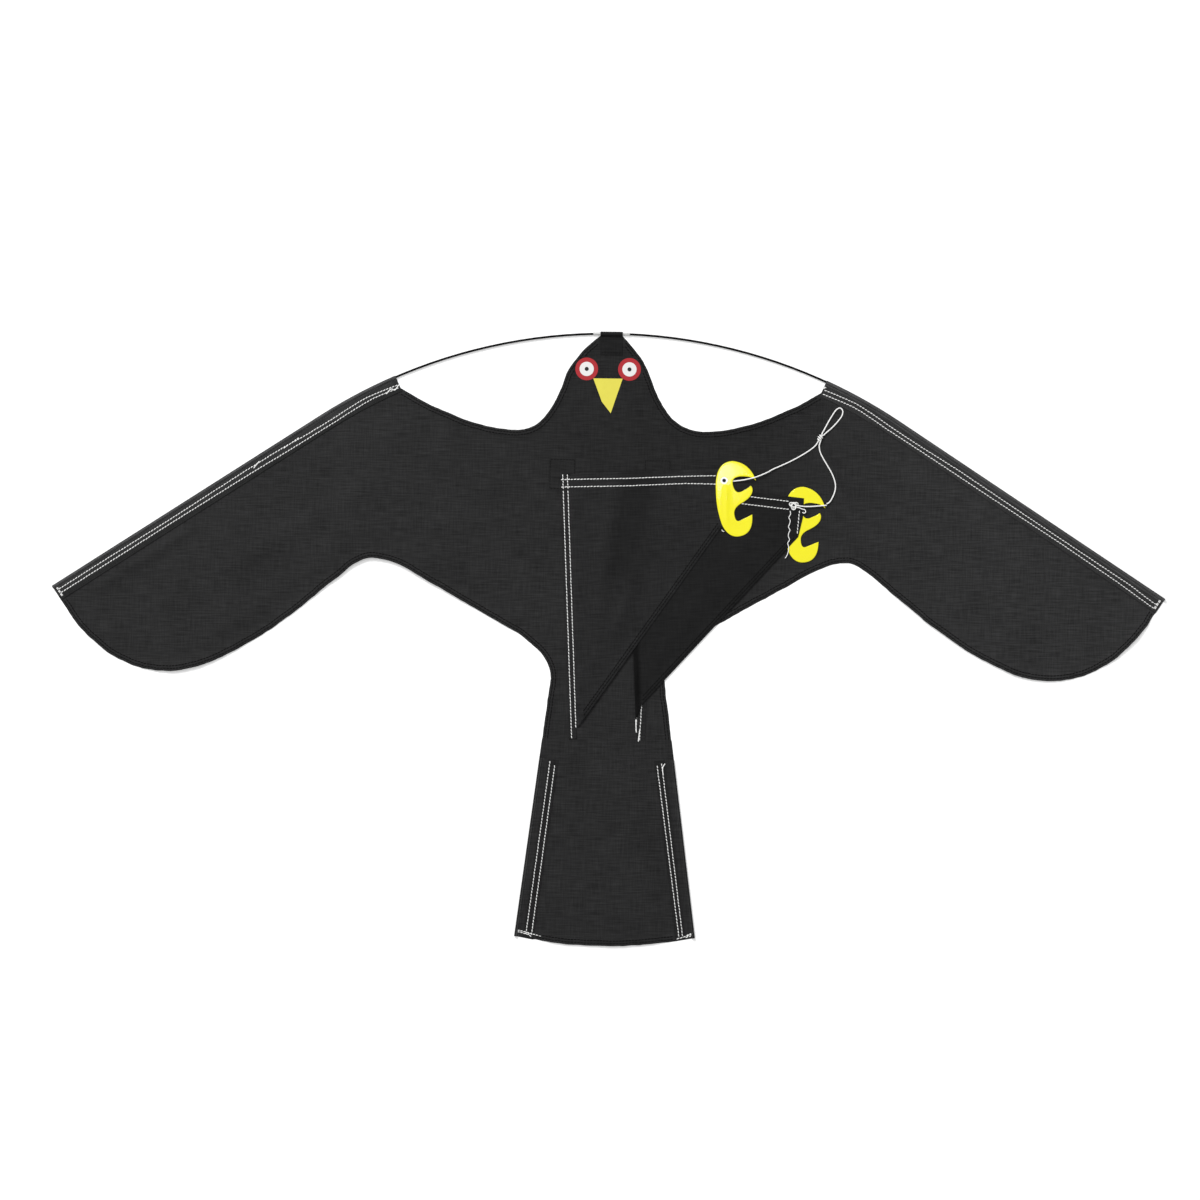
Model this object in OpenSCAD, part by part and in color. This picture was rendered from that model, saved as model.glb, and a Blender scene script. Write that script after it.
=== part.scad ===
// Hawk-shaped bird scarer kite: a cloth sail on a bowed rod, two keel flaps with claws, and a cord bridle.
// It lies flat on the ground: x runs along the span, y towards the head, z up. Lengths are in millimetres.

/* [Sail] */
// Centre line to wing tip
half_span = 625; // [600:1:650]
// Top of the head loop to the end of the tail
kite_len = 690; // [675:1:710]
// Thickness of the sail cloth
sail_t = 0.4; // [0.3:0.05:0.6]
// Width of the head across the eyes
head_w = 97; // [90:1:110]
// How far the head leans to the left
head_shift = 3.5; // [0:0.5:6]
// Front edge to the sail's corner at a shoulder
shoulder_w = 15; // [12:0.5:16]
// Length of the cut across a wing tip
tip_w = 18; // [16:0.5:24]
// Width of the tail where it meets the wings
tail_neck_w = 128; // [120:1:136]
// Width of the tail at its end
tail_end_w = 203; // [190:1:216]
// Height of the curve at the tail's end
tail_crown = 10.5; // [6:0.5:14]

/* [Rods] */
// Diameter of the rods
rod_d = 2.4; // [1.8:0.1:2.6]
// Radius of the bend over the head
bow_r = 594; // [575:1:615]
// Slope of the wing rods, in degrees
wing_slope = 33.1; // [32:0.1:35]
// How much the radius of a wing rod narrows past the bend
rod_step_t = 0.03; // [0.02:0.01:0.06]
// How far the straight run of a wing rod and its sleeve reaches back into the bend
bend_lap = 0.5; // [0.3:0.1:0.7]
// Wing rod's end to the end of its sleeve
rod_inset = 6; // [3:0.5:12]
// Gap between the two wing rods inside the ferrule
rod_gap = 1; // [0.5:0.5:4]
// Outside diameter of the ferrule
ferrule_d = 3.4; // [3.2:0.1:4]
// Length of the ferrule
ferrule_len = 41; // [36:1:50]
// Room around a rod in the ferrule
ferrule_clear = 0.1; // [0.05:0.05:0.2]
// Length of a tail rod
tail_rod_len = 180; // [150:1:185]

/* [Sleeves] */
// Thickness of the tapes
tape_t = 0.4; // [0.3:0.05:0.6]
// Width of a wing sleeve
wing_sleeve_w = 19.5; // [17:0.5:22]
// Where a wing sleeve starts on the bend, in degrees from the head
sleeve_start = 24; // [23:0.5:26]
// Width of a tail sleeve
tail_sleeve_w = 22; // [18:0.5:25]
// Length of a tail sleeve
tail_sleeve_len = 202; // [192:1:210]
// Room around a rod in its sleeve
sleeve_clear = 0.15; // [0.1:0.05:0.3]

/* [Head loop] */
// Width of the loop's tape
loop_w = 25; // [20:1:30]
// Top of the loop to its sewn end
loop_len = 26; // [20:1:30]
// Room around the ferrule in the loop
loop_clear = 0.25; // [0.2:0.05:0.4]

/* [Face] */
// Diameter of the red eye ring
eye_d = 25.5; // [22:0.5:26]
// Diameter of the white of the eye
eye_white_d = 16; // [12:0.5:18]
// Diameter of the pupil
pupil_d = 4.5; // [3:0.5:7]
// Distance between the eyes' centres
eye_space = 48; // [47:0.5:52]
// Top of the kite to the eyes' centres
eye_drop = 42; // [40:0.5:43]
// Width of the beak
beak_w = 33; // [26:0.5:34]
// Length of the beak
beak_len = 39; // [30:0.5:46]
// Top of the kite to the top of the beak
beak_drop = 52.5; // [52:0.5:58]
// Thickness of the eye discs and the beak
face_t = 0.2; // [0.15:0.05:0.4]

/* [Keels] */
// Length of a keel along its fold
keel_len = 298; // [280:1:310]
// Fold to the keel's tip
keel_depth = 180; // [170:1:190]
// Thickness of the keel cloth
keel_t = 0.4; // [0.3:0.05:0.5]
// Top of the kite to the top of the keels
keel_drop = 160; // [155:1:165]
// Centre line to the top of the left fold
left_fold_x = 45; // [40:0.5:50]
// Centre line to the top of the right fold
right_fold_x = 20; // [16:0.5:26]
// Lean of both folds, in degrees
fold_lean = 2.6; // [1:0.1:4]
// Width of the strip that is sewn down
seam_w = 11; // [9:0.5:14]
// Width of a reinforcing patch
patch_w = 30; // [24:1:36]
// Length of a reinforcing patch
patch_len = 35; // [28:1:40]
// Thickness of a reinforcing patch
patch_t = 0.3; // [0.2:0.05:0.4]
// Distance between the patches' centres
patch_space = 107; // [100:1:114]
// Top of the kite to the patches' top edges
patch_drop = 143; // [138:1:148]

/* [Claws] */
// Width of a claw
claw_w = 46; // [40:0.5:48]
// Length of a claw
claw_len = 85; // [76:0.5:92]
// Thickness of the claw sheet
claw_t = 0.6; // [0.4:0.05:0.8]
// Turn of the right claw on its keel, in degrees
claw_turn = 5; // [0:0.5:8]
// Bore of an eyelet
eyelet_bore = 4.2; // [3.6:0.1:4.8]
// Wall of an eyelet's barrel
eyelet_wall = 0.5; // [0.3:0.05:0.7]
// Width of an eyelet's rim past its barrel
eyelet_rim = 1.3; // [0.8:0.1:2]
// Thickness of an eyelet's rim
eyelet_rim_t = 0.3; // [0.2:0.05:0.4]

/* [Bridle] */
// Diameter of the cord
cord_d = 1.5; // [1.2:0.1:1.6]
// Diameter of the bridle's knot
knot_d = 5.2; // [4:0.1:5.4]
// Diameter of the knot on the right eyelet
tie_knot_d = 6; // [5:0.1:6.2]

/* [Hidden] */
$fn = 64;

// Gap between pieces that move past each other
air = 0.3;
// Room around an eyelet's barrel in cloth and claw
eyelet_clear = 0.05;

// Points of the head's side, as shares of the head's width and the kite's length
head_brow_shares = [0.42, 0.458];
head_side_shares = [0.5, 0.425];
head_neck_shares = [0.7, 0.339];
// Points of the wing's edges, as shares of the half span and the kite's length
shoulder_low_shares = [0.166, 0.339];
shoulder_bend_shares = [0.256, 0.339];
tip_bend_shares = [0.907, -0.061];
wing_low_shares = [0.79, -0.061];
wing_bend_shares = [0.708, -0.061];
trail_out_shares = [0.568, 0.035];
trail_in_shares = [0.467, 0.11];
pit_out_shares = [0.442, 0.1275];
pit_top_shares = [0.426, 0.1275];
pit_in_shares = [0.4, 0.1275];
flank_top_shares = [0.36, 0.109];
flank_low_shares = [0.176, 0.0145];
// Heights on the tail's neck, as shares of the kite's length
neck_bend_share = -0.023;
neck_share = -0.065;
// Kink on the beak's left side, as shares of its width and length
beak_kink_shares = [-0.2, 0.67];
// Keel corners, as shares of the keel's depth and length, from the top of the fold
left_keel_shares = [[0, 0], [1, 0], [1, 0.168], [0, 0.955]];
right_keel_shares = [[0, 0.01], [1.07, 0.11], [1.07, 0.25], [0, 0.88]];
// Eyelet places, as shares of the keel's depth and length
left_eyelet_shares = [0.96, 0.045];
right_eyelet_shares = [1.027, 0.138];
// Claw outline, as shares of its width and length from its top left corner: a point on the edge, then the
// corner that the curve after it leans to, in turn
claw_shares = [
    [0.44, 0], [0.86, 0.03],
    [1, 0.272], [0.9, 0.215],
    [0.74, 0.212], [0.6, 0.2],
    [0.5, 0.222], [0.39, 0.25],
    [0.44, 0.34], [0.5, 0.46],
    [0.7, 0.39], [0.79, 0.37],
    [0.865, 0.335], [0.93, 0.37],
    [0.89, 0.43], [0.84, 0.5],
    [0.63, 0.56], [0.43, 0.615],
    [0.44, 0.7], [0.46, 0.83],
    [0.6, 0.785], [0.74, 0.75],
    [0.876, 0.715], [0.9, 0.99],
    [0.5, 1], [0.25, 1],
    [0.12, 0.82], [0, 0.6],
    [0.01, 0.4], [-0.02, 0.01]
];
claw_eyelet_shares = [0.22, 0.254];

// Steps in each curve of an outline
bend_steps = 10;
// Sides of the cord, and its ring spacing as a share of its diameter
cord_sides = 8;
ring_share = 2.8;

// The cord's routes: the left tie leads from under its eyelet up through the claw's mouth and over the jaw,
// the right tie from the knot on its eyelet over the jaw, and the legs from the jaws to the bridle's knot
left_tie_route = [
    [130.6, 179, 1.2], [134, 178.9, 1.2], [137.5, 178.9, 1.4], [140.5, 179.1, 2.1], [145, 179.6, 3.1],
    [150.5, 180.4, 3.9], [156, 181.6, 4.2], [161, 182.8, 4.2], [168, 185.3, 3.8], [176.5, 188.5, 3.1]
];
right_tie_route = [
    [209.9, 152.3, 4.4], [214, 152.2, 3.7], [220, 152.2, 3.1], [230, 152.6, 2.6], [243.2, 153, 2.4]
];
bridle_left_route = [
    [176.4, 190.3, 3.1], [183, 193, 2.6], [191, 196.4, 2], [202, 201.6, 1.4], [212, 207, 1.3],
    [222, 213.2, 1.3], [229, 218.6, 1.5], [232.2, 222.6, 2], [234.3, 226.7, 2.6]
];
bridle_right_route = [
    [243.1, 154.8, 2.4], [247, 158, 2.1], [250.6, 163, 1.6], [253, 170, 1.3], [253, 178, 1.3],
    [250, 187, 1.3], [245, 196, 1.3], [239.5, 205, 1.3], [235.6, 213, 1.4], [234.6, 220, 1.9],
    [236.3, 226.1, 2.6]
];
bridle_loop_route = [
    [236.9, 232.2, 3], [240, 238, 2.1], [244.5, 246.5, 1.4], [249.5, 255, 1.3], [253.2, 260.2, 1.3],
    [257.4, 262.4, 1.3], [260.4, 259.4, 1.3], [259.6, 253.6, 1.3], [254.5, 246.5, 1.3], [248, 239.5, 1.5],
    [242.6, 234.8, 2.1], [238.8, 231.2, 3]
];
knot_place = [236, 229, 3.1];

// Rods and sleeves
rod_r = rod_d / 2;
loop_bore_r = ferrule_d / 2 + loop_clear;
loop_r = loop_bore_r + tape_t;
rod_z = loop_r;
sleeve_bore_r = rod_r + sleeve_clear;
sleeve_r = sleeve_bore_r + tape_t;
top_y = kite_len / 2;
bow_centre = [0, top_y - loop_r - bow_r];
bow_end = on_bow(wing_slope, bow_r);
wing_run = (half_span - bow_end.x - sleeve_r * sin(wing_slope)) / cos(wing_slope);
tip_front = bow_end + wing_run * [cos(wing_slope), -sin(wing_slope)] + sleeve_r * out_of_wing();
tip_back = tip_front - tip_w * out_of_wing();
shoulder = on_bow(sleeve_start, bow_r + sleeve_r - shoulder_w);

// Tail
tail_corner = [tail_end_w / 2, tail_crown - top_y];
tail_neck = [tail_neck_w / 2, neck_share * kite_len];
tail_flare = atan2(tail_corner.x - tail_neck.x, tail_neck.y - tail_corner.y);

// Layers of the keels, from the sail up
seam_top = sail_t + patch_t + keel_t;
right_keel_z = max(seam_top + air, sail_t + air + eyelet_rim_t + claw_t);
left_keel_z = right_keel_z + keel_t + air;
left_fold_r = left_keel_z + keel_t / 2 - seam_top - air;
right_fold_r = keel_t / 2;
keel_y = top_y - keel_drop;
patch_low_y = top_y - patch_drop - patch_len;
eyelet_r = eyelet_bore / 2 + eyelet_wall;

// A point on the rod's bend, by its angle from the head
function on_bow(angle, r) = bow_centre + r * [sin(angle), cos(angle)];

// Direction across the wing's straight front edge, outwards
function out_of_wing() = [sin(wing_slope), cos(wing_slope)];

// A point given in shares of the half span and the kite's length, on the right side 1 or the left side -1
function sail_point(shares, side) = [side * shares.x * half_span, shares.y * kite_len];

// The same for the head, which leans to the left
function head_point(shares, side) = [side * shares.x * head_w - head_shift, shares.y * kite_len];

// A point of the right side, or its mirror image
function flip(p, side) = [side * p.x, p.y];

// A curve from one point towards another that leans to a corner, without its last point
function bend(from, corner, to) = [
    for (i = [0:bend_steps - 1])
        let (t = i / bend_steps) (1 - t) * (1 - t) * from + 2 * t * (1 - t) * corner + t * t * to
];

// One side of the sail from the middle of the head to the middle of the tail
function sail_side(side) = concat(
    bend(flip([loop_w / 2, top_y - 2 * loop_r], side), head_point(head_brow_shares, side),
        head_point(head_side_shares, side)),
    bend(head_point(head_side_shares, side), head_point(head_neck_shares, side),
        sail_point(shoulder_low_shares, side)),
    bend(sail_point(shoulder_low_shares, side), sail_point(shoulder_bend_shares, side),
        flip(shoulder, side)),
    [flip(shoulder, side)],
    [for (i = [0:bend_steps])
        flip(on_bow(sleeve_start + (wing_slope - sleeve_start) * i / bend_steps, bow_r + sleeve_r), side)],
    [flip(tip_front, side)],
    bend(flip(tip_back, side), sail_point(tip_bend_shares, side), sail_point(wing_low_shares, side)),
    bend(sail_point(wing_low_shares, side), sail_point(wing_bend_shares, side),
        sail_point(trail_out_shares, side)),
    [sail_point(trail_out_shares, side)],
    bend(sail_point(trail_in_shares, side), sail_point(pit_out_shares, side),
        sail_point(pit_top_shares, side)),
    bend(sail_point(pit_top_shares, side), sail_point(pit_in_shares, side),
        sail_point(flank_top_shares, side)),
    [sail_point(flank_top_shares, side)],
    bend(sail_point(flank_low_shares, side), flip([tail_neck.x, neck_bend_share * kite_len], side),
        flip(tail_neck, side)),
    [flip(tail_neck, side)]
);

// Points in the opposite order
function turned(points) = [for (i = [len(points) - 1:-1:0]) points[i]];

// A closed outline of curves, from points and corners in turn
function curved_outline(points) = [
    for (i = [0:2:len(points) - 1])
        each bend(points[i], points[i + 1], points[(i + 2) % len(points)])
];

// A smooth curve through a cord's route
function route_end(route, i) = route[min(max(i, 0), len(route) - 1)];
function route_point(route, i, t) =
    let (a = route_end(route, i - 1), b = route[i], c = route[i + 1], d = route_end(route, i + 2))
    b + t * (c - a) / 2 + t * t * (2 * a - 5 * b + 4 * c - d) / 2 + t * t * t * (3 * b - a - 3 * c + d) / 2;
function route_steps(route, i) = ceil(norm(route[i + 1] - route[i]) / (ring_share * cord_d));
function route_curve(route) = concat(
    [for (i = [0:len(route) - 2]) for (k = [0:route_steps(route, i) - 1])
        route_point(route, i, k / route_steps(route, i))],
    [route[len(route) - 1]]
);
function unit(v) = v / norm(v);
function cord_ring(curve, i) =
    let (
        ahead = unit(curve[min(i + 1, len(curve) - 1)] - curve[max(i - 1, 0)]),
        side = unit(cross(ahead, [0, 0, 1])),
        up = cross(side, ahead)
    )
    [for (k = [0:cord_sides - 1])
        let (a = 360 * k / cord_sides) curve[i] + cord_d / 2 * (cos(a) * side + sin(a) * up)];

// A round cord along a route
module cord(route) {
    curve = route_curve(route);
    last = len(curve) - 1;
    points = [for (i = [0:last]) each cord_ring(curve, i)];
    walls = [
        for (i = [0:last - 1]) for (k = [0:cord_sides - 1])
            let (a = i * cord_sides + k, b = i * cord_sides + (k + 1) % cord_sides)
            each [[a, b, b + cord_sides], [a, b + cord_sides, a + cord_sides]]
    ];
    end_ring = last * cord_sides;
    start = [for (k = [2:cord_sides - 1]) [0, k, k - 1]];
    end = [for (k = [2:cord_sides - 1]) [end_ring, end_ring + k - 1, end_ring + k]];
    color("white") polyhedron(points, concat(walls, start, end));
}

// The left side as the mirror image of the right
module on_left() {
    mirror([1, 0, 0]) children();
}

// Two profiles swept along the right wing: one from an angle on the bend, one down the straight run
module along_wing(from_angle, run) {
    translate(bow_centre)
        rotate([0, 0, 90 - wing_slope])
            rotate_extrude(angle = wing_slope - from_angle)
                translate([bow_r, 0])
                    children(0);
    translate(bow_end - bend_lap * [cos(wing_slope), -sin(wing_slope)])
        rotate([90, 0, 90 - wing_slope])
            linear_extrude(run + bend_lap)
                children(1);
}

// A profile swept up the right tail edge, from its low end
module along_tail(low, run) {
    edge = tail_corner - sleeve_r * [cos(tail_flare), sin(tail_flare)];
    translate(edge + (low + run) * [-sin(tail_flare), cos(tail_flare)])
        rotate([90, 0, tail_flare])
            linear_extrude(run)
                children();
}

// Section of a sleeve: a tube round the rod and a strip sewn to the sail
module sleeve_section(w, step) {
    tube_r = sleeve_r - step;
    difference() {
        union() {
            translate([0, rod_z]) circle(tube_r);
            translate([-tube_r, sail_t]) square([tube_r, rod_z - sail_t]);
            translate([sleeve_r - w + step, sail_t]) square([w - sleeve_r - step, tape_t]);
        }
        translate([0, rod_z]) circle(sleeve_bore_r - step);
    }
}

module rod_section(step) {
    translate([0, rod_z]) circle(rod_r - step);
}

// The frame of a keel: x away from its fold, y up along it
module at_fold(place) {
    translate([place, keel_y, 0]) rotate([0, 0, fold_lean]) children();
}

module at_left_eyelet() {
    at_fold(-left_fold_x)
        translate([left_eyelet_shares.x * keel_depth, -left_eyelet_shares.y * keel_len, 0])
            children();
}

module at_right_eyelet() {
    at_fold(right_fold_x)
        translate([right_eyelet_shares.x * keel_depth, -right_eyelet_shares.y * keel_len, 0])
            rotate([0, 0, -claw_turn])
                children();
}

// Flap with a round fold edge
module keel(shares, z, fold_r) {
    translate([0, 0, z])
        linear_extrude(keel_t)
            polygon([for (s = shares) [s.x * keel_depth, -s.y * keel_len]]);
    translate([0, -shares[0].y * keel_len, z + keel_t / 2])
        rotate([90, 0, 0])
            cylinder(h = (shares[3].y - shares[0].y) * keel_len, r = fold_r);
}

// Hole for an eyelet's barrel
module eyelet_hole() {
    cylinder(h = 2 * top_y, r = eyelet_r + eyelet_clear, center = true);
}

// Claw sheet with its eyelet at the origin
module claw(z) {
    scales = [claw_w, -claw_len];
    eyelet = [claw_eyelet_shares.x * scales.x, claw_eyelet_shares.y * scales.y];
    outline = [for (s = claw_shares) [s.x * scales.x, s.y * scales.y] - eyelet];
    color("yellow")
        difference() {
            translate([0, 0, z]) linear_extrude(claw_t) polygon(curved_outline(outline));
            eyelet_hole();
        }
}

// Eyelet through claw and keel, which start at a height
module eyelet(z) {
    stack = claw_t + keel_t;
    color("whitesmoke")
        translate([0, 0, z])
            difference() {
                union() {
                    translate([0, 0, -eyelet_rim_t]) cylinder(h = stack + 2 * eyelet_rim_t, r = eyelet_r);
                    translate([0, 0, -eyelet_rim_t]) cylinder(h = eyelet_rim_t, r = eyelet_r + eyelet_rim);
                    translate([0, 0, stack]) cylinder(h = eyelet_rim_t, r = eyelet_r + eyelet_rim);
                }
                cylinder(h = 2 * top_y, d = eyelet_bore, center = true);
            }
}

// Sewn strip of a keel, which steps up over the patch at its top end
module seam_strip(outline) {
    step_y = patch_low_y - air;
    color("black") {
        intersection() {
            translate([0, 0, sail_t]) linear_extrude(keel_t) polygon(outline);
            translate([-half_span, step_y - kite_len, 0]) cube([2 * half_span, kite_len, seam_top]);
        }
        intersection() {
            translate([0, 0, sail_t + patch_t]) linear_extrude(keel_t) polygon(outline);
            translate([-half_span, step_y - keel_t, 0]) cube([2 * half_span, kite_len, seam_top + air]);
        }
    }
}

// Points of a keel's frame in the kite's frame
function fold_point(place, p) = [
    place + p.x * cos(fold_lean) - p.y * sin(fold_lean),
    keel_y + p.x * sin(fold_lean) + p.y * cos(fold_lean)
];

module disc(d, layer) {
    translate([0, 0, sail_t + layer * face_t]) cylinder(h = face_t, d = d);
}

module at_eye(side) {
    translate([side * eye_space / 2 - head_shift, top_y - eye_drop, 0]) children();
}

module patch() {
    translate([(patch_space - patch_w) / 2, patch_low_y, sail_t]) cube([patch_w, patch_len, patch_t]);
}

module sail() {
    color("dimgray")
        linear_extrude(sail_t)
            polygon(concat(
                sail_side(1),
                bend(tail_corner, [0, -top_y - tail_crown], flip(tail_corner, -1)),
                [flip(tail_corner, -1)],
                turned(sail_side(-1))
            ));
}

module right_wing_sleeve() {
    color("darkslategray")
        along_wing(sleeve_start, wing_run) {
            sleeve_section(wing_sleeve_w, 0);
            sleeve_section(wing_sleeve_w, rod_step_t);
        }
}

module left_wing_sleeve() {
    on_left() right_wing_sleeve();
}

module right_wing_rod() {
    start = asin(rod_gap / 2 / bow_r);
    color("black")
        along_wing(start, wing_run - rod_inset) {
            rod_section(0);
            rod_section(rod_step_t);
        }
}

module left_wing_rod() {
    on_left() right_wing_rod();
}

module rod_ferrule() {
    spread = 2 * asin(ferrule_len / 2 / bow_r);
    color("white")
        translate(bow_centre)
            rotate([0, 0, 90 - spread / 2])
                rotate_extrude(angle = spread)
                    translate([bow_r, rod_z])
                        difference() {
                            circle(d = ferrule_d);
                            circle(rod_r + ferrule_clear);
                        }
}

module head_loop() {
    tail_end = loop_len - loop_r - loop_bore_r / 2;
    color("black")
        translate([-loop_w / 2, top_y - loop_r, 0])
            rotate([90, 0, 90])
                linear_extrude(loop_w)
                    difference() {
                        union() {
                            translate([0, rod_z]) circle(loop_r);
                            translate([loop_r - loop_len, sail_t]) square([tail_end, 2 * tape_t]);
                        }
                        translate([0, rod_z]) circle(loop_bore_r);
                    }
}

module right_tail_sleeve() {
    color("darkslategray") along_tail(0, tail_sleeve_len) sleeve_section(tail_sleeve_w, 0);
}

module left_tail_sleeve() {
    on_left() right_tail_sleeve();
}

module right_tail_rod() {
    color("black") along_tail(rod_inset, tail_rod_len) rod_section(0);
}

module left_tail_rod() {
    on_left() right_tail_rod();
}

module left_eye_ring() {
    color("crimson") at_eye(-1) disc(eye_d, 0);
}

module right_eye_ring() {
    color("crimson") at_eye(1) disc(eye_d, 0);
}

module left_eye_white() {
    color("white") at_eye(-1) disc(eye_white_d, 1);
}

module right_eye_white() {
    color("white") at_eye(1) disc(eye_white_d, 1);
}

module left_pupil() {
    color("black") at_eye(-1) disc(pupil_d, 2);
}

module right_pupil() {
    color("black") at_eye(1) disc(pupil_d, 2);
}

module beak() {
    color("gold")
        translate([-head_shift, top_y - beak_drop, sail_t])
            linear_extrude(face_t)
                polygon([
                    [-beak_w / 2, 0],
                    [beak_w / 2, 0],
                    [head_shift, -beak_len],
                    [beak_kink_shares.x * beak_w, -beak_kink_shares.y * beak_len]
                ]);
}

module right_keel_patch() {
    color("dimgray") patch();
}

module left_keel_patch() {
    on_left() right_keel_patch();
}

module left_keel_seam() {
    inner = -left_fold_r - air;
    seam_strip([
        fold_point(-left_fold_x, [inner, 0]),
        fold_point(-left_fold_x, [-seam_w, 0]),
        fold_point(-left_fold_x, [-seam_w, -keel_len]),
        fold_point(-left_fold_x, [inner, -keel_len])
    ]);
}

module right_keel_seam() {
    inner = right_fold_r + air;
    seam_strip([
        fold_point(right_fold_x, [inner, 0]),
        flip(fold_point(-left_fold_x, [-seam_w, 0]), -1),
        flip(fold_point(-left_fold_x, [-seam_w, -keel_len]), -1),
        fold_point(right_fold_x, [inner, -keel_len])
    ]);
}

module left_keel() {
    color("dimgray")
        difference() {
            at_fold(-left_fold_x) keel(left_keel_shares, left_keel_z, left_fold_r);
            at_left_eyelet() eyelet_hole();
        }
}

module right_keel() {
    color("dimgray")
        difference() {
            at_fold(right_fold_x) keel(right_keel_shares, right_keel_z, right_fold_r);
            at_right_eyelet() eyelet_hole();
        }
}

module left_claw() {
    at_left_eyelet() claw(left_keel_z + keel_t);
}

module right_claw() {
    at_right_eyelet() claw(right_keel_z - claw_t);
}

module left_eyelet() {
    at_left_eyelet() eyelet(left_keel_z);
}

module right_eyelet() {
    at_right_eyelet() eyelet(right_keel_z - claw_t);
}

module left_tie() {
    cord(left_tie_route);
}

module right_tie() {
    cord(right_tie_route);
}

module right_tie_knot() {
    rim_z = right_keel_z + keel_t + eyelet_rim_t;
    sink = sqrt(tie_knot_d * tie_knot_d - eyelet_bore * eyelet_bore) / 2;
    color("white")
        at_right_eyelet()
            translate([0, 0, rim_z + sink + eyelet_clear])
                sphere(d = tie_knot_d);
}

module bridle_left_leg() {
    cord(bridle_left_route);
}

module bridle_right_leg() {
    cord(bridle_right_route);
}

module bridle_knot() {
    color("white") translate(knot_place) sphere(d = knot_d);
}

module bridle_loop() {
    cord(bridle_loop_route);
}

sail();
left_wing_sleeve();
right_wing_sleeve();
left_wing_rod();
right_wing_rod();
rod_ferrule();
head_loop();
left_tail_sleeve();
right_tail_sleeve();
left_tail_rod();
right_tail_rod();
left_eye_ring();
right_eye_ring();
left_eye_white();
right_eye_white();
left_pupil();
right_pupil();
beak();
left_keel_patch();
right_keel_patch();
left_keel_seam();
right_keel_seam();
left_keel();
right_keel();
left_claw();
right_claw();
left_eyelet();
right_eyelet();
left_tie();
right_tie();
right_tie_knot();
bridle_left_leg();
bridle_right_leg();
bridle_knot();
bridle_loop();
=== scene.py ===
"""Looks of a hawk-shaped bird scarer kite that lies flat on a white floor, seen from straight above."""

import math
import random

import bpy
import numpy as np
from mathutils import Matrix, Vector, noise
from mathutils.geometry import delaunay_2d_cdt


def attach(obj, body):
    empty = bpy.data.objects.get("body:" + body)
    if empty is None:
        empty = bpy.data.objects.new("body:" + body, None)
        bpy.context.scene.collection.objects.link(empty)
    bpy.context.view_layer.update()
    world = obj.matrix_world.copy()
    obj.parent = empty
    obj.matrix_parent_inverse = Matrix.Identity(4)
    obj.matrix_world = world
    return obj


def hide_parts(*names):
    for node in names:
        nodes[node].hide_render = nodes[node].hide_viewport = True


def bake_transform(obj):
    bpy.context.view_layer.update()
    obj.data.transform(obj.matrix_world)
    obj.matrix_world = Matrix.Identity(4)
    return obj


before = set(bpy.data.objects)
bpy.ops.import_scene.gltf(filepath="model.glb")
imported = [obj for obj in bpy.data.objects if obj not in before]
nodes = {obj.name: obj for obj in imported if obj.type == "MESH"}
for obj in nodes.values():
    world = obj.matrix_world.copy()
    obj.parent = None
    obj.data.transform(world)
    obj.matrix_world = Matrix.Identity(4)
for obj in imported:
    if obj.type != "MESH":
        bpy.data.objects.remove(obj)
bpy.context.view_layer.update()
scene = bpy.context.scene
chance = random.Random(7)

# Sizes that the looks share with the CAD, in metres
TOP = 0.345
BOW_R = 0.594
SLOPE = math.radians(33.1)
SLEEVE_START = math.radians(24)
SLEEVE_R = 0.00175
ROD_Z = 0.00235
BOW_Y = TOP - ROD_Z - BOW_R
HALF_SPAN = 0.625
FRONT_R = BOW_R + SLEEVE_R
# Length of a wing's front edge along the bend, and in all
BEND_RUN = FRONT_R * (SLOPE - SLEEVE_START)
WING_RUN = BEND_RUN + (HALF_SPAN - FRONT_R * math.sin(SLOPE)) / math.cos(SLOPE)
WING_SLEEVE_W = 0.0195
TAIL_CORNER = Vector((0.1015, -0.3345))
TAIL_NECK = Vector((0.064, -0.04485))
TAIL_ALONG = (TAIL_NECK - TAIL_CORNER).normalized()
TAIL_SLEEVE_W = 0.022
TAIL_SLEEVE_LEN = 0.202
LEAN = math.radians(2.6)
KEEL_Y = 0.185
KEEL_LEN = 0.298
KEEL_DEPTH = 0.18
# How far down a fold its patch reaches
PATCH_END = 0.0185
LEFT_FOLD = -0.045
RIGHT_FOLD = 0.02
SAIL_TOP = 0.00038
TAPE_TOP = 0.0008
PATCH_TOP = 0.0007
SEAM_TOP = 0.0011
RIGHT_KEEL_Z = 0.0016
LEFT_KEEL_Z = 0.0023
CLOTH_T = 0.0004
CLAW_T = 0.0006
EYELET_R = 0.00265
CORD_R = 0.00075
# Left and right
SIDES = (-1, 1)

# Where tones, painted sheen and painted shade change: the start and the end of each change
# From the sail's darkest place, and along the span for the right wing's painted sheen
CHEST = (0.07, 0.26, 0.0)
CHEST_REACH = (0.04, 0.26)
WING_SHEEN_SPAN = (0.15, 0.5)
# From a wing's front edge: its dark edge, painted sheen, seams and painted inner-edge shadow
TAPE_EDGE = (0.0003, 0.0013)
TAPE_SHEEN_END = (0.0045, 0.0062)
TAPE_SEAM_END = (0.0122, 0.0142)
TAPE_INNER_SHADOW = (0.0184, 0.019)
# From the tail's side: its dark edge, painted sheen and seam
TAIL_EDGE = (0.0012, 0.0024)
TAIL_SHEEN_END = (0.0042, 0.0056)
TAIL_SEAM = (0.0085, 0.0115)
# Across the left flap, and up along its fold, for its painted valley shade
VALLEY_SHADE_START = (0.045, 0.07)
VALLEY_SHADE_END = (0.085, 0.115)
VALLEY_SHADE_LOW = (-0.15, -0.1)
# From the middle of the right flap's painted fold shadow
FOLD_SHADOW_REACH = (0.0008, 0.006)
# From the floor's middle
LAMP_REACH = (0.95, 3.0)


# Shader building


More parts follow.
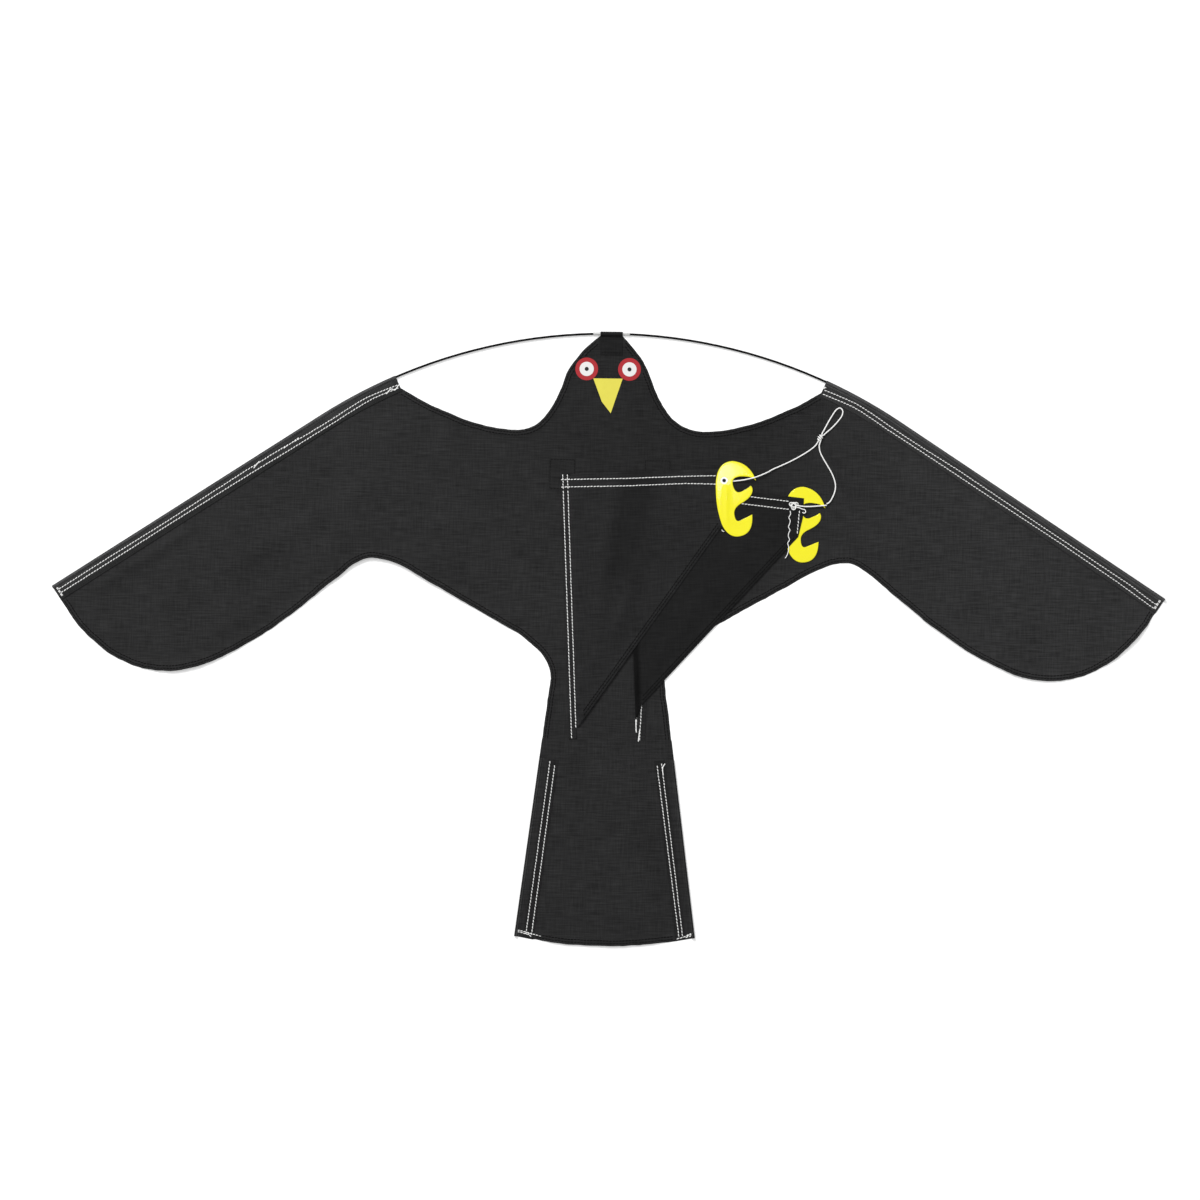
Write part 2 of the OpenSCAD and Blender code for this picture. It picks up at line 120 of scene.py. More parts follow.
class Output:
    """One output of a shader node; sums and products of it add nodes to its tree."""

    def __init__(self, tree, socket):
        self.tree = tree
        self.socket = socket

    def node(self, kind, settings, sockets, out=0):
        made = self.tree.nodes.new("ShaderNode" + kind)
        for name, value in settings.items():
            setattr(made, name, value)
        for name, value in sockets.items():
            plug(self.tree, made.inputs[name], value)
        return Output(self.tree, made.outputs[out])

    def math(self, operation, other=0.0):
        return self.node("Math", {"operation": operation}, {0: self, 1: other})

    def __add__(self, other):
        return self.math("ADD", other)

    def __sub__(self, other):
        return self.math("SUBTRACT", other)

    def __mul__(self, other):
        return self.math("MULTIPLY", other)

    def __truediv__(self, other):
        return self.math("DIVIDE", other)

    def __rsub__(self, other):
        return self * -1.0 + other

    __radd__ = __add__
    __rmul__ = __mul__

    def part(self, index):
        return self.node("SeparateXYZ", {}, {"Vector": self}, index)

    def turned(self, angle):
        return self.node("VectorRotate", {"rotation_type": "Z_AXIS"}, {"Vector": self, "Angle": angle})

    def vector(self, operation, other=(0.0, 0.0, 0.0), out=0):
        return self.node("VectorMath", {"operation": operation}, {0: self, 1: other}, out)

    def noise(self, scale, detail=3.0):
        return self.node("TexNoise", {}, {"Vector": self, "Scale": scale, "Detail": detail})

    def tint(self, colour):
        """The colour times this value."""
        return self.node("VectorMath", {"operation": "SCALE"}, {0: colour, "Scale": self})

    def blend(self, first, second):
        """The first colour where this value is 0, the second where it is 1."""
        return self.node("Mix", {"data_type": "RGBA"}, {0: self, 6: first, 7: second}, 2)

    def steps(self, low, high):
        """0 below low, 1 above high, smooth between."""
        limits = {"Value": self, "From Min": low, "From Max": high}
        return self.node("MapRange", {"interpolation_type": "SMOOTHSTEP"}, limits)

    def bump(self, distance, strength=1.0):
        return self.node("Bump", {}, {"Height": self, "Distance": distance, "Strength": strength})


def plug(tree, socket, value):
    """Set a socket's value, or link it to another node's output."""
    if isinstance(value, Output):
        tree.links.new(value.socket, socket)
    elif socket.type == "RGBA":
        socket.default_value = (*value[:3], 1.0)
    else:
        socket.default_value = value


def material(name, inputs):
    """A material whose inputs come from a function of the place on the object."""
    made = bpy.data.materials.new(name)
    made.use_nodes = True
    tree = made.node_tree
    place = Output(tree, tree.nodes.new("ShaderNodeTexCoord").outputs["Object"])
    for key, value in inputs(place).items():
        plug(tree, tree.nodes["Principled BSDF"].inputs[key], value)
    return made


def woven(place, pitch):
    """Height of a plain weave with that thread pitch."""
    across = place.part(0) / pitch
    along = place.part(1) / pitch
    over = (across.math("FLOOR") + along.math("FLOOR")).math("FLOORED_MODULO", 2.0)
    warp = (across * math.pi).math("SINE").math("ABSOLUTE")
    weft = (along * math.pi).math("SINE").math("ABSOLUTE")
    return over * warp + (1.0 - over) * weft


def cloth_look(colour, angle=0.0, pitch=0.0006, depth=0.0002, rough=0.56, slub=1.6, fold_shadow=None, wing_sheen=0.0):
    """Woven cloth: a plain weave with uneven threads both ways and broad worn patches.

    The line given is a painted fold shadow: a dark line at that place across the turned cloth. The share
    given for the wing is a painted sheen that lightens the right wing by as much; all but the chest is a
    little lighter.
    """

    def inputs(place):
        spot = place.turned(angle)
        weave = woven(spot, pitch)
        patches = place.noise(14.0, 4.0)
        weft = spot.vector("MULTIPLY", (45.0, 700.0, 1.0)).noise(1.0, 2.0)
        warp = spot.vector("MULTIPLY", (700.0, 45.0, 1.0)).noise(1.0, 2.0)
        threads = weft + 0.6 * warp
        shade = 0.6 + 0.26 * weave + 0.45 * patches + slub * (threads - 0.8)
        # Painted shadow of a fold: a dark line across the turned cloth
        if fold_shadow is not None:
            off = (spot.part(0) - fold_shadow + 0.0018 * (patches - 0.5)).math("ABSOLUTE")
            shade = shade * (0.12 + 0.88 * off.steps(*FOLD_SHADOW_REACH))
        # Darker at the chest, and a painted sheen that lightens the right wing
        if wing_sheen:
            from_chest = place.vector("DISTANCE", CHEST, "Value")
            shade = shade * (0.8 + 0.26 * from_chest.steps(*CHEST_REACH))
            shade = shade * (1.0 + wing_sheen * place.part(0).steps(*WING_SHEEN_SPAN))
        return {
            "Base Color": shade.tint(colour),
            "Roughness": rough + 0.2 * patches - 0.1,
            "Normal": (weave + 0.8 * threads).bump(depth, 0.7),
            "Specular IOR Level": 0.12,
        }

    return inputs


def tape_look(side, past_seams_dark):
    """A wing's coarse tape: dark at its front edge, a painted sheen over the rod's tube, darker by a share
    past its seams, and a painted shadow along its inner edge.
    """

    def inputs(place):
        cloth = cloth_look(TAPE_COLOUR, side * SLOPE, pitch=0.0016, depth=0.0005, rough=0.7, slub=1.2)
        found = cloth(place)
        spot = place.turned(side * SLOPE)
        across = spot.part(1) - BOW_Y * math.cos(SLOPE)
        round_bow = (side * spot.part(0) + BOW_Y * math.sin(SLOPE)).math("MINIMUM", 0.0)
        inset = FRONT_R - (across * across + round_bow * round_bow).math("SQRT")
        # Painted sheen over the rod's tube, and a painted shadow along the tape's inner edge
        sheen_and_tone = 0.5 + 2.0 * inset.steps(*TAPE_EDGE) - 1.5 * inset.steps(*TAPE_SHEEN_END)
        sheen_and_tone = sheen_and_tone - past_seams_dark * inset.steps(*TAPE_SEAM_END) - 0.4 * inset.steps(*TAPE_INNER_SHADOW)
        found["Base Color"] = sheen_and_tone.tint(found["Base Color"])
        return found

    return inputs


# The sail's cloth, with a painted sheen on the right wing
def sail_look(place):
    return cloth_look(SAIL_COLOUR, wing_sheen=0.4)(place)


def tail_look(side, tube_sheen):
    """A tail's sleeve of sail cloth: dark at its edge, darker past its seam, and lightened by a share over
    the rod's tube, a painted sheen.
    """

    def inputs(place):
        found = sail_look(place)
        inset = TAIL_ALONG.y * (TAIL_CORNER.x - side * place.part(0))
        inset = inset + TAIL_ALONG.x * (place.part(1) - TAIL_CORNER.y)
        # Painted sheen over the rod's tube
        sheen_and_tone = 0.6 + (tube_sheen - 0.6) * inset.steps(*TAIL_EDGE)
        sheen_and_tone = sheen_and_tone - (tube_sheen - 1.05) * inset.steps(*TAIL_SHEEN_END) - 0.4 * inset.steps(*TAIL_SEAM)
        found["Base Color"] = sheen_and_tone.tint(found["Base Color"])
        return found

    return inputs


def keel_look(place):
    """The left flap's cloth, with painted shade in a valley between its creases."""
    found = cloth_look(KEEL_COLOUR, -LEAN)(place)
    spot = place.vector("SUBTRACT", (LEFT_FOLD, KEEL_Y, 0.0)).turned(-LEAN)
    across = spot.part(0) - 0.2 * spot.part(1)
    # Painted shade in the valley between the creases
    valley_shade = (across.steps(*VALLEY_SHADE_START) - across.steps(*VALLEY_SHADE_END)) * spot.part(1).steps(*VALLEY_SHADE_LOW)
    found["Base Color"] = (1.0 - 0.35 * valley_shade).tint(found["Base Color"])
    return found


def plastic_look(colour, dark, rough, coat=0.0, grain=120.0):
    """Sheet plastic with a faint cloud and fine scuffs."""

    def inputs(place):
        cloud = place.noise(grain)
        scuff = place.noise(grain * 9.0, 4.0).steps(0.55, 0.75)
        return {
            "Base Color": (0.7 * cloud + 0.3 * scuff - 0.1).blend(colour, dark),
            "Roughness": rough + 0.12 * scuff,
            "Normal": (cloud + 0.3 * scuff).bump(0.00008, 0.4),
            "Coat Weight": coat,
            "Coat Roughness": 0.06,
            "Specular IOR Level": 0.3,
        }

    return inputs


def yarn_look(colour, dark, shine=0.4):
    """Spun thread or cord with fuzz and a little soil."""

    def inputs(place):
        fuzz = place.noise(1600.0, 4.0)
        soil = place.noise(60.0)
        return {
            "Base Color": (0.6 * fuzz + 0.5 * soil - 0.2).blend(colour, dark),
            "Roughness": 0.7 + 0.2 * fuzz,
            "Normal": fuzz.bump(0.0002, 0.6),
            "Specular IOR Level": shine,
        }

    return inputs


def ferrule_inputs(place):
    cloud = place.noise(180.0)
    return {
        "Base Color": cloud.blend((0.6, 0.6, 0.59), (0.4, 0.41, 0.4)),
        "Roughness": 0.25 + 0.2 * cloud,
        "Subsurface Weight": 0.2,
        "Subsurface Radius": (0.001, 0.001, 0.001),
        "Normal": cloud.bump(0.0001, 0.3),
    }


def rod_inputs(place):
    streak = place.noise(400.0, 5.0)
    return {
        "Base Color": streak.blend((0.0012, 0.0012, 0.0012), (0.006, 0.006, 0.0062)),
        "Roughness": 0.4 + 0.25 * streak,
        "Normal": streak.bump(0.00005, 0.5),
        "Specular IOR Level": 0.04,
    }


def floor_inputs(place):
    """Matt white paper that looks white and keeps its shadows; it glows more far from the lamps."""
    grain = place.noise(300.0)
    seen = place.node("LightPath", {}, {}, "Is Camera Ray")
    for ray in ("Is Glossy Ray", "Is Transmission Ray"):
        seen = seen.math("MAXIMUM", place.node("LightPath", {}, {}, ray))
    far = place.vector("LENGTH", out="Value").steps(*LAMP_REACH)
    return {
        "Base Color": grain.blend((0.93, 0.93, 0.93), (0.91, 0.91, 0.91)),
        "Roughness": 0.9,
        "Specular IOR Level": 0.1,
        "Emission Color": (seen * (0.38 + 0.62 * far)).tint((1.0, 1.0, 1.0)),
        "Emission Strength": 0.58,
    }


SAIL_COLOUR = (0.0184, 0.0184, 0.0187)
TAPE_COLOUR = (0.03, 0.03, 0.0304)
KEEL_COLOUR = (0.0163, 0.0163, 0.0167)
# The right flap's painted fold shadow, a dark line: its distance from the fold, and its place across the
# turned cloth
FOLD_SHADOW_OUT = 0.0025
FOLD_SHADOW_PLACE = (RIGHT_FOLD + FOLD_SHADOW_OUT) * math.cos(LEAN) + KEEL_Y * math.sin(LEAN)
INPUTS = {
    "sail_cloth": sail_look,
    "right_tail_hem": tail_look(1, 1.5),
    "left_tail_hem": tail_look(-1, 2.4),
    "keel_cloth": keel_look,
    # The right flap's cloth, with its painted fold shadow
    "fold_shadow_cloth": cloth_look((0.0095, 0.0095, 0.0097), -LEAN, fold_shadow=FOLD_SHADOW_PLACE),
    "patch_cloth": cloth_look((0.0145, 0.0145, 0.0147), 0.1, pitch=0.0007, rough=0.6),
    "right_tape": tape_look(1, 0.0),
    "left_tape": tape_look(-1, 0.42),
    "loop_tape": cloth_look((0.0102, 0.0102, 0.0105), pitch=0.0012, depth=0.0004, rough=0.65),
    "rod_fibreglass": rod_inputs,
    "ferrule_plastic": ferrule_inputs,
    "eye_red": plastic_look((0.385, 0.008, 0.018), (0.33, 0.014, 0.01), 0.45),
    "eye_white": plastic_look((0.75, 0.74, 0.73), (0.64, 0.63, 0.62), 0.45),
    "eye_black": plastic_look((0.004, 0.004, 0.004), (0.01, 0.01, 0.01), 0.4),
    "beak_yellow": plastic_look((0.7, 0.64, 0.075), (0.62, 0.55, 0.06), 0.45),
    "claw_yellow": plastic_look((0.87, 0.81, 0.004), (0.82, 0.73, 0.003), 0.3, 0.6),
    "eyelet_white": plastic_look((0.88, 0.88, 0.86), (0.76, 0.76, 0.74), 0.3, 0.3, 300.0),
    "cord_white": yarn_look((0.94, 0.94, 0.93), (0.76, 0.76, 0.74)),
    "white_thread": yarn_look((0.95, 0.95, 0.94), (0.78, 0.78, 0.76)),
    "black_thread": yarn_look((0.002, 0.002, 0.002), (0.005, 0.005, 0.005), 0.1),
    "floor_paper": floor_inputs,
}
LOOKS = {name: material(name, inputs) for name, inputs in INPUTS.items()}


# Mesh building


def mesh_object(name, points, faces, look, body=None):
    """A smooth mesh with a look, which rides a body where one is named."""
    data = bpy.data.meshes.new(name)
    data.from_pydata([tuple(p) for p in points], [], faces)
    data.polygons.foreach_set("use_smooth", [True] * len(data.polygons))
    data.materials.append(LOOKS[look])
    made = bpy.data.objects.new(name, data)
    scene.collection.objects.link(made)
    if body:
        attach(made, body)
    return made


def open_sides(faces):
    """The sides of faces, each with its direction, that no other face shares."""
    found = {}
    for face in faces:
        for side in zip(face, face[1:] + face[:1]):
            if side[::-1] in found:
                del found[side[::-1]]
            else:
                found[side] = True
    return list(found)


def top_loop(name):
    """The outline of a CAD sheet's upper face, in order."""
    data = nodes[name].data
    high = max(v.co.z for v in data.vertices)
    faces = []
    for face in data.polygons:
        places = [data.vertices[i].co for i in face.vertices]
        if face.normal.z >= 0.9 and min(p.z for p in places) >= high - 1e-5:
            faces.append([(round(p.x, 6), round(p.y, 6)) for p in places])
    following = dict(open_sides(faces))
    loops = []
    while following:
        start, here = following.popitem()
        loop = [start]
        while here != start:
            loop.append(here)
            here = following.pop(here)
        loops.append(np.array(loop))
    return max(loops, key=lambda loop: np.ptp(loop[:, 0]) * np.ptp(loop[:, 1]))


def run_along(line):
    """Distance along a line, at each of its points."""
    return np.concatenate([[0], np.cumsum(np.linalg.norm(np.diff(line, axis=0), axis=1))])


def evenly(points, step):
    """The same line with its points about a step apart."""
    line = np.array(points, float)
    run = run_along(line)
    at = np.linspace(0, run[-1], max(2, round(run[-1] / step)) + 1)
    return np.stack([np.interp(at, run, line[:, k]) for k in range(line.shape[1])], axis=1)


def fine_edge(outline, step):
    """A closed outline, counterclockwise, with points no more than about a step apart."""
    edge = []
    for a, b in zip(outline, np.roll(outline, -1, axis=0)):
        count = max(1, round(float(np.linalg.norm(b - a)) / step))
        edge.extend(a + (b - a) * k / count for k in range(count))
    edge = np.array(edge)
    after = np.roll(edge, -1, axis=0)
    return edge if np.sum(edge[:, 0] * after[:, 1] - edge[:, 1] * after[:, 0]) > 0 else edge[::-1]


def closed(edge):
    """An outline with its first point again at its end."""
    return np.vstack([edge, edge[:1]])


def inward(edge):
    """At each point of an outline, the direction into it."""
    ahead = np.roll(edge, -1, axis=0) - np.roll(edge, 1, axis=0)
    side = np.stack([-ahead[:, 1], ahead[:, 0]], axis=1)
    return side / np.linalg.norm(side, axis=1)[:, None]


def to_line(points, line):
    """Distance in plan of each point to a line."""
    points = np.asarray(points, float)[:, :2]
    best = np.full(len(points), 1e9)
    for a, b in zip(line[:-1], line[1:]):
        a, b = np.array(a[:2]), np.array(b[:2])
        span = b - a
        share = np.clip((points - a) @ span / max(span @ span, 1e-12), 0, 1)
        best = np.minimum(best, np.linalg.norm(points - a - share[:, None] * span, axis=1))
    return best


def to_lines(points, lines):
    """Distance in plan of each point to the nearest of some lines."""
    return np.minimum.reduce([to_line(points, line) for line in lines])


def inside(points, outline):
    """Which points lie within an outline."""
    x, y = points[:, 0], points[:, 1]
    hit = np.zeros(len(points), bool)
    for (x0, y0), (x1, y1) in zip(outline, np.roll(outline, -1, axis=0)):
        if y0 != y1:
            hit ^= ((y0 > y) != (y1 > y)) & (x < (x1 - x0) * (y - y0) / (y1 - y0) + x0)
    return hit


def well_inside(points, edge, depth):
    """Which points lie within an edge and farther from it than a depth."""
    return inside(points, edge) & (to_line(points, closed(edge)) > depth)


def ease(low, high, value):
    """0 below low, 1 above high, smooth between."""
    share = np.clip((value - low) / (high - low), 0, 1)
    return share * share * (3 - 2 * share)


def ripple(flat, scale_x, scale_y, seed):
    """Smooth noise, from about -1 to 1, over places in plan."""
    return np.array([noise.noise(Vector((x * scale_x, y * scale_y, seed))) for x, y in flat[:, :2]])


def bell(distance, width):
    """1 on a line, fading to 0 beside it."""
    return np.exp(-((distance / width) ** 2))


# A hem: its width, its height, and the distances of its two seams from the edge
HEM_W = 0.0066
HEM_T = 0.0006
HEM_SEAMS = (0.0028, 0.0058)
GROOVE_W = 0.0005
GROOVE_DEPTH = 0.00025
# The mesh's rows along a hem, as distances from the edge
HEM_ROWS = [0.0009, 0.002, 0.0028, 0.0036, 0.005, 0.0058, 0.0066, 0.0076]
# Distance between the points of a cloth's edge
EDGE_STEP = 0.0035
# The mesh's rows along a fold, and their room to other rows and to the edge
FOLD_ROWS = 7
FOLD_ROOM = 0.001
FOLD_EDGE_ROOM = 0.0006
HOLE_SIDES = 24


def hem(to_edge):
    """Height of a folded hem: a flat band with two sewn grooves."""
    band = ease(0.0004, 0.0012, to_edge) * (1 - ease(HEM_W - 0.0004, HEM_W + 0.0006, to_edge))
    groove = sum(bell(to_edge - seam, GROOVE_W) for seam in HEM_SEAMS)
    return HEM_T * band - GROOVE_DEPTH * groove


def cut_sheet(name, edge, top, thick, look, rows, grid, hole=None, body=None, fold=None):
    """A cloth or sheet cut to an edge; top gives heights from places and their distances to the edge.

    A hole is a centre and a radius. A fold is a line and how far from it the mesh has rows along it.
    """
    kept = [edge]
    for depth in rows:
        moved = edge + depth * inward(edge)
        kept.append(moved[well_inside(moved, edge, 0.9 * depth)])
    low, high = edge.min(0), edge.max(0)
    xs, ys = np.meshgrid(np.arange(low[0], high[0], grid), np.arange(low[1], high[1], grid * 0.87))
    xs[1::2] += grid / 2
    field = np.stack([xs.ravel(), ys.ravel()], axis=1)
    kept.append(field[well_inside(field, edge, rows[-1] + 0.6 * grid)])
    if fold:
        line, reach = fold
        kept = [edge] + [k[to_line(k, line) > reach + FOLD_ROOM] for k in kept[1:]]
        middle = evenly(line, EDGE_STEP)
        across = (middle[-1] - middle[0])[::-1] * (1, -1) / np.linalg.norm(middle[-1] - middle[0])
        for shift in np.linspace(-reach, reach, FOLD_ROWS):
            moved = middle + shift * across
            kept.append(moved[well_inside(moved, edge, FOLD_EDGE_ROOM)])
    if hole:
        centre, radius = hole
        turn = np.linspace(0, 2 * math.pi, HOLE_SIDES + 1)[:-1]
        kept = [edge] + [k[np.linalg.norm(k - centre, axis=1) > radius * 1.15] for k in kept[1:]]
        kept.append(centre + radius * np.stack([np.cos(turn), np.sin(turn)], axis=1))
    flat = np.vstack(kept)
    count = len(edge)
    around = [(i, (i + 1) % count) for i in range(count)]
    found = delaunay_2d_cdt([Vector(p) for p in flat], around, [], 1, 1e-7, True)
    flat = np.array([tuple(p) for p in found[0]])
    middles = np.array([flat[list(face)].mean(0) for face in found[2]])
    faces = []
    for face, middle, within in zip(found[2], middles, inside(middles, edge)):
        if not within or hole and np.linalg.norm(middle - hole[0]) < hole[1] * 0.96:
            continue
        a, b, c = (flat[i] for i in face)
        turn = (b[0] - a[0]) * (c[1] - a[1]) - (b[1] - a[1]) * (c[0] - a[0])
        faces.append(list(face) if turn > 0 else list(face)[::-1])
    height = top(flat, to_line(flat, closed(edge)))
    size = len(flat)
    walls = [(b, a, a + size, b + size) for a, b in open_sides(faces)]
    under = [tuple(i + size for i in face[::-1]) for face in faces]
    points = np.vstack([np.column_stack([flat, height]), np.column_stack([flat, height - thick])])
    return mesh_object(name, points, faces + under + walls, look, body)


def curve_through(points, step):
    """A smooth line through points, with its own points a step apart."""
    knots = [np.array(point, float) for point in points]
    knots = [2 * knots[0] - knots[1]] + knots + [2 * knots[-1] - knots[-2]]
    line = []
    for a, b, c, d in zip(knots, knots[1:], knots[2:], knots[3:]):
        for t in np.linspace(0, 1, 16)[:-1]:
            bent = t * (c - a) + t * t * (2 * a - 5 * b + 4 * c - d) + t**3 * (3 * b - a - 3 * c + d)
            line.append(b + bent / 2)
    return evenly(line + [knots[-2]], step)


def tube_faces(base, rings, sides):
    """Faces of a closed tube whose rings of points start at base."""
    faces = []
    last = base + (rings - 1) * sides
    for i in range(base, last, sides):
        for k in range(sides):
            m = (k + 1) % sides
            faces.append((i + k, i + m, i + sides + m, i + sides + k))
    faces.append(tuple(range(base, base + sides))[::-1])
    faces.append(tuple(range(last, last + sides)))
    return faces


def tube(name, path, radius, look, body=None, sides=12, strands=3, lay=0.005):
    """A laid cord along a path: its strands show as ridges that wind round it."""
    path = np.array(path)
    ahead = np.gradient(path, axis=0)
    ahead /= np.linalg.norm(ahead, axis=1)[:, None]
    side = np.cross(ahead[0], (0.0, 0.0, 1.0) if abs(ahead[0][2]) < 0.9 else (1.0, 0.0, 0.0))
    run = run_along(path)
    points = []
    for i in range(len(path)):
        side = side - ahead[i] * (side @ ahead[i])
        side /= np.linalg.norm(side)
        up = np.cross(side, ahead[i])
        for k in range(sides):
            angle = 2 * math.pi * k / sides
            wound = angle - 2 * math.pi * run[i] / lay / strands
            ridge = 0.88 + 0.12 * abs(math.cos(strands / 2 * wound))
            points.append(path[i] + radius * ridge * (math.cos(angle) * side + math.sin(angle) * up))
    return mesh_object(name, points, tube_faces(0, len(path), sides), look, body)


# Shares of a stitch's length, with its height and width there in threads
STITCH_SHARES = ((0.0, -0.7, 0.5), (0.16, 0.0, 0.95), (0.5, 0.1, 1.0), (0.84, 0.0, 0.95), (1.0, -0.7, 0.5))
# How far a stitch's ends stray
STRAY = 0.00015


def sew(name, rows, look, body=None, thread=0.0005, pitch=0.0036, fill=0.88, slant=0.0002):
    """Rows of stitches as one mesh: short threads that dip into the cloth at both ends."""
    points, faces = [], []
    sides = 6
    for row in rows:
        line = evenly(row, pitch)
        for a, b in zip(line[:-1], line[1:]):
            along = (b - a) / np.linalg.norm(b - a)
            side = np.cross(along, (0.0, 0.0, 1.0))
            side /= np.linalg.norm(side)
            up = np.cross(side, along)
            start = a + side * (slant + chance.uniform(-STRAY, STRAY))
            stop = a + (b - a) * fill + side * (chance.uniform(-STRAY, STRAY) - slant)
            base = len(points)
            for share, lift, wide in STITCH_SHARES:
                middle = start + (stop - start) * share + up * thread * lift
                for k in range(sides):
                    turn = 2 * math.pi * k / sides
                    points.append(middle + thread * wide * (math.cos(turn) * side + math.sin(turn) * up))
            faces += tube_faces(base, len(STITCH_SHARES), sides)
    return mesh_object(name, points, faces, look, body)


def hem_line(edge, depth, top, keep):
    """Stretches of a line a depth in from an edge, on its cloth, where keep allows them."""
    moved = edge + depth * inward(edge)
    good = well_inside(moved, edge, 0.93 * depth) & keep(moved)
    lifted = np.column_stack([moved, top(moved, np.full(len(moved), depth))])
    first = int(np.argmin(good))
    runs, run = [], []
    for i in range(len(edge) + 1):
        k = (first + i) % len(edge)
        if good[k] and i < len(edge):
            run.append(lifted[k])
        elif run:
            if len(run) > 3:
                runs.append(np.array(run))
            run = []
    return runs


def sew_hem(name, edge, top, keep, body):
    """The two black seams of a hem, where keep allows them."""
    rows = []
    for depth in HEM_SEAMS:
        rows += hem_line(edge, depth, top, keep)
    sew(name, rows, "black_thread", body, thread=0.00055, fill=0.95, slant=0.0001)


# Lines on the kite


def wing_point(run, inset, side):
    """A point on a wing's sleeve, that far along from its shoulder and in from its front edge."""
    radius = FRONT_R - inset
    angle = min(SLOPE, SLEEVE_START + run / FRONT_R)
    past_bend = max(0.0, run - BEND_RUN)
    x = radius * math.sin(angle) + past_bend * math.cos(SLOPE)
    return (side * x, BOW_Y + radius * math.cos(angle) - past_bend * math.sin(SLOPE), TAPE_TOP)


def tail_point(inset, rise, side, z=TAPE_TOP):
    """A point on a tail's sleeve, that far in from the tail's side and up from its corner."""
    place = TAIL_CORNER + rise * TAIL_ALONG + inset * Vector((-TAIL_ALONG.y, TAIL_ALONG.x))
    return (side * place.x, place.y, z)


def fold_point(fold_x, u, v, z=0.0):
    """A point on a keel: u away from its fold, v down along it."""
    cos, sin = math.cos(LEAN), math.sin(LEAN)
    return (fold_x + u * cos + v * sin, KEEL_Y + u * sin - v * cos, z)


def from_fold(fold_x, flat):
    """The same the other way: u and v of points in plan."""
    cos, sin = math.cos(LEAN), math.sin(LEAN)
    x, y = flat[:, 0] - fold_x, flat[:, 1] - KEEL_Y
    return x * cos + y * sin, x * sin - y * cos


# Sail

EYES = np.array([(-0.0275, 0.303), (0.0205, 0.303)])
EYE_R = 0.01275
# The edges that sleeves cover
FRONT_RUNS = (*np.linspace(-0.001, BEND_RUN, 12), WING_RUN)
FRONTS = [[wing_point(run, 0.0, side) for run in FRONT_RUNS] for side in SIDES]
TAIL_SIDES = [[tail_point(0.0, rise, side) for rise in (0.0, TAIL_SLEEVE_LEN)] for side in SIDES]
# A hem's room to sleeves and eyes
SLEEVE_ROOM = 0.001
EYE_ROOM = 0.0012
# Half width and lower end of the head loop's field
LOOP_HALF_W = 0.014
LOOP_LOW = 0.31
# Where keels, claws and bridle lie on the sail, so that it stays flat
KEEL_FIELD = np.array(
    [(-0.08, 0.215), (0.22, 0.3), (0.29, 0.28), (0.28, 0.12), (0.22, 0.075), (0.05, -0.125), (-0.07, -0.125)]
)
# Soft creases: two ends in plan, height and half width
CREASES = [
    ((-0.5, 0.03), (-0.27, 0.17), 0.0014, 0.012),
    ((-0.44, 0.0), (-0.3, 0.1), 0.001, 0.009),
    ((-0.25, 0.24), (-0.13, 0.17), 0.0011, 0.01),
    ((-0.3, 0.12), (-0.13, 0.13), 0.0012, 0.009),
    ((-0.23, 0.06), (-0.1, 0.02), 0.001, 0.008),
    ((0.33, 0.19), (0.54, 0.03), 0.0014, 0.012),
    ((0.37, 0.1), (0.5, -0.01), 0.0011, 0.009),
    ((-0.06, -0.16), (0.05, -0.3), 0.0012, 0.011),
    ((0.05, -0.18), (-0.03, -0.29), 0.0009, 0.008),
]
# The same beside a wing's tape
TAPE_CREASES = [
    ((-0.572, 0.052), (-0.47, 0.118), 0.0034, 0.005),
    ((0.45, 0.135), (0.39, 0.165), 0.0028, 0.005),
]
# Where these start, from the front edge
TAPE_CREASE_START = (0.0195, 0.026)


def hemmed(flat):
    """Where the sail's edge has a plain hem: not at sleeves, the head's loop or the eyes."""
    covered = (np.abs(flat[:, 0]) < LOOP_HALF_W) & (flat[:, 1] > LOOP_LOW)
    for eye in EYES:
        covered |= np.linalg.norm(flat - eye, axis=1) < EYE_R + EYE_ROOM
    covered |= to_lines(flat, FRONTS) <= WING_SLEEVE_W + SLEEVE_ROOM
    covered |= to_lines(flat, TAIL_SIDES) <= TAIL_SLEEVE_W + SLEEVE_ROOM
    return ~covered


def sail_height(flat, to_edge):
    """Top of the sail: flat where it is held, waved and creased where it is free, with its hem."""
    front, tail = to_lines(flat, FRONTS), to_lines(flat, TAIL_SIDES)
    field = to_line(flat, closed(KEEL_FIELD))
    field[inside(flat, KEEL_FIELD)] = 0
    head = np.where(flat[:, 1] < 0.1, 1, np.hypot(flat[:, 0], np.minimum(flat[:, 1] - 0.29, 0)))
    free = ease(0.018, 0.06, front) * ease(0.024, 0.05, tail)
    free = free * ease(0.0, 0.06, field) * ease(0.06, 0.12, head)
    wave = 0.0045 * np.clip(0.45 + ripple(flat, 9, 5, 1.3) + 0.45 * ripple(flat, 21, 15, 7.1), 0, 1.4)
    for start, stop, height, width in CREASES:
        uneven = 1 + 0.6 * ripple(flat, 25, 25, height * 9000)
        wave += height * uneven * bell(to_line(flat, [start, stop]), width)
    sewn = hemmed(flat) * hem(to_edge) * (1 + 0.5 * ripple(flat, 170, 170, 3.0))
    for start, stop, height, width in TAPE_CREASES:
        sewn += height * ease(*TAPE_CREASE_START, front) * bell(to_line(flat, [start, stop]), width)
    return SAIL_TOP + sewn + free * wave


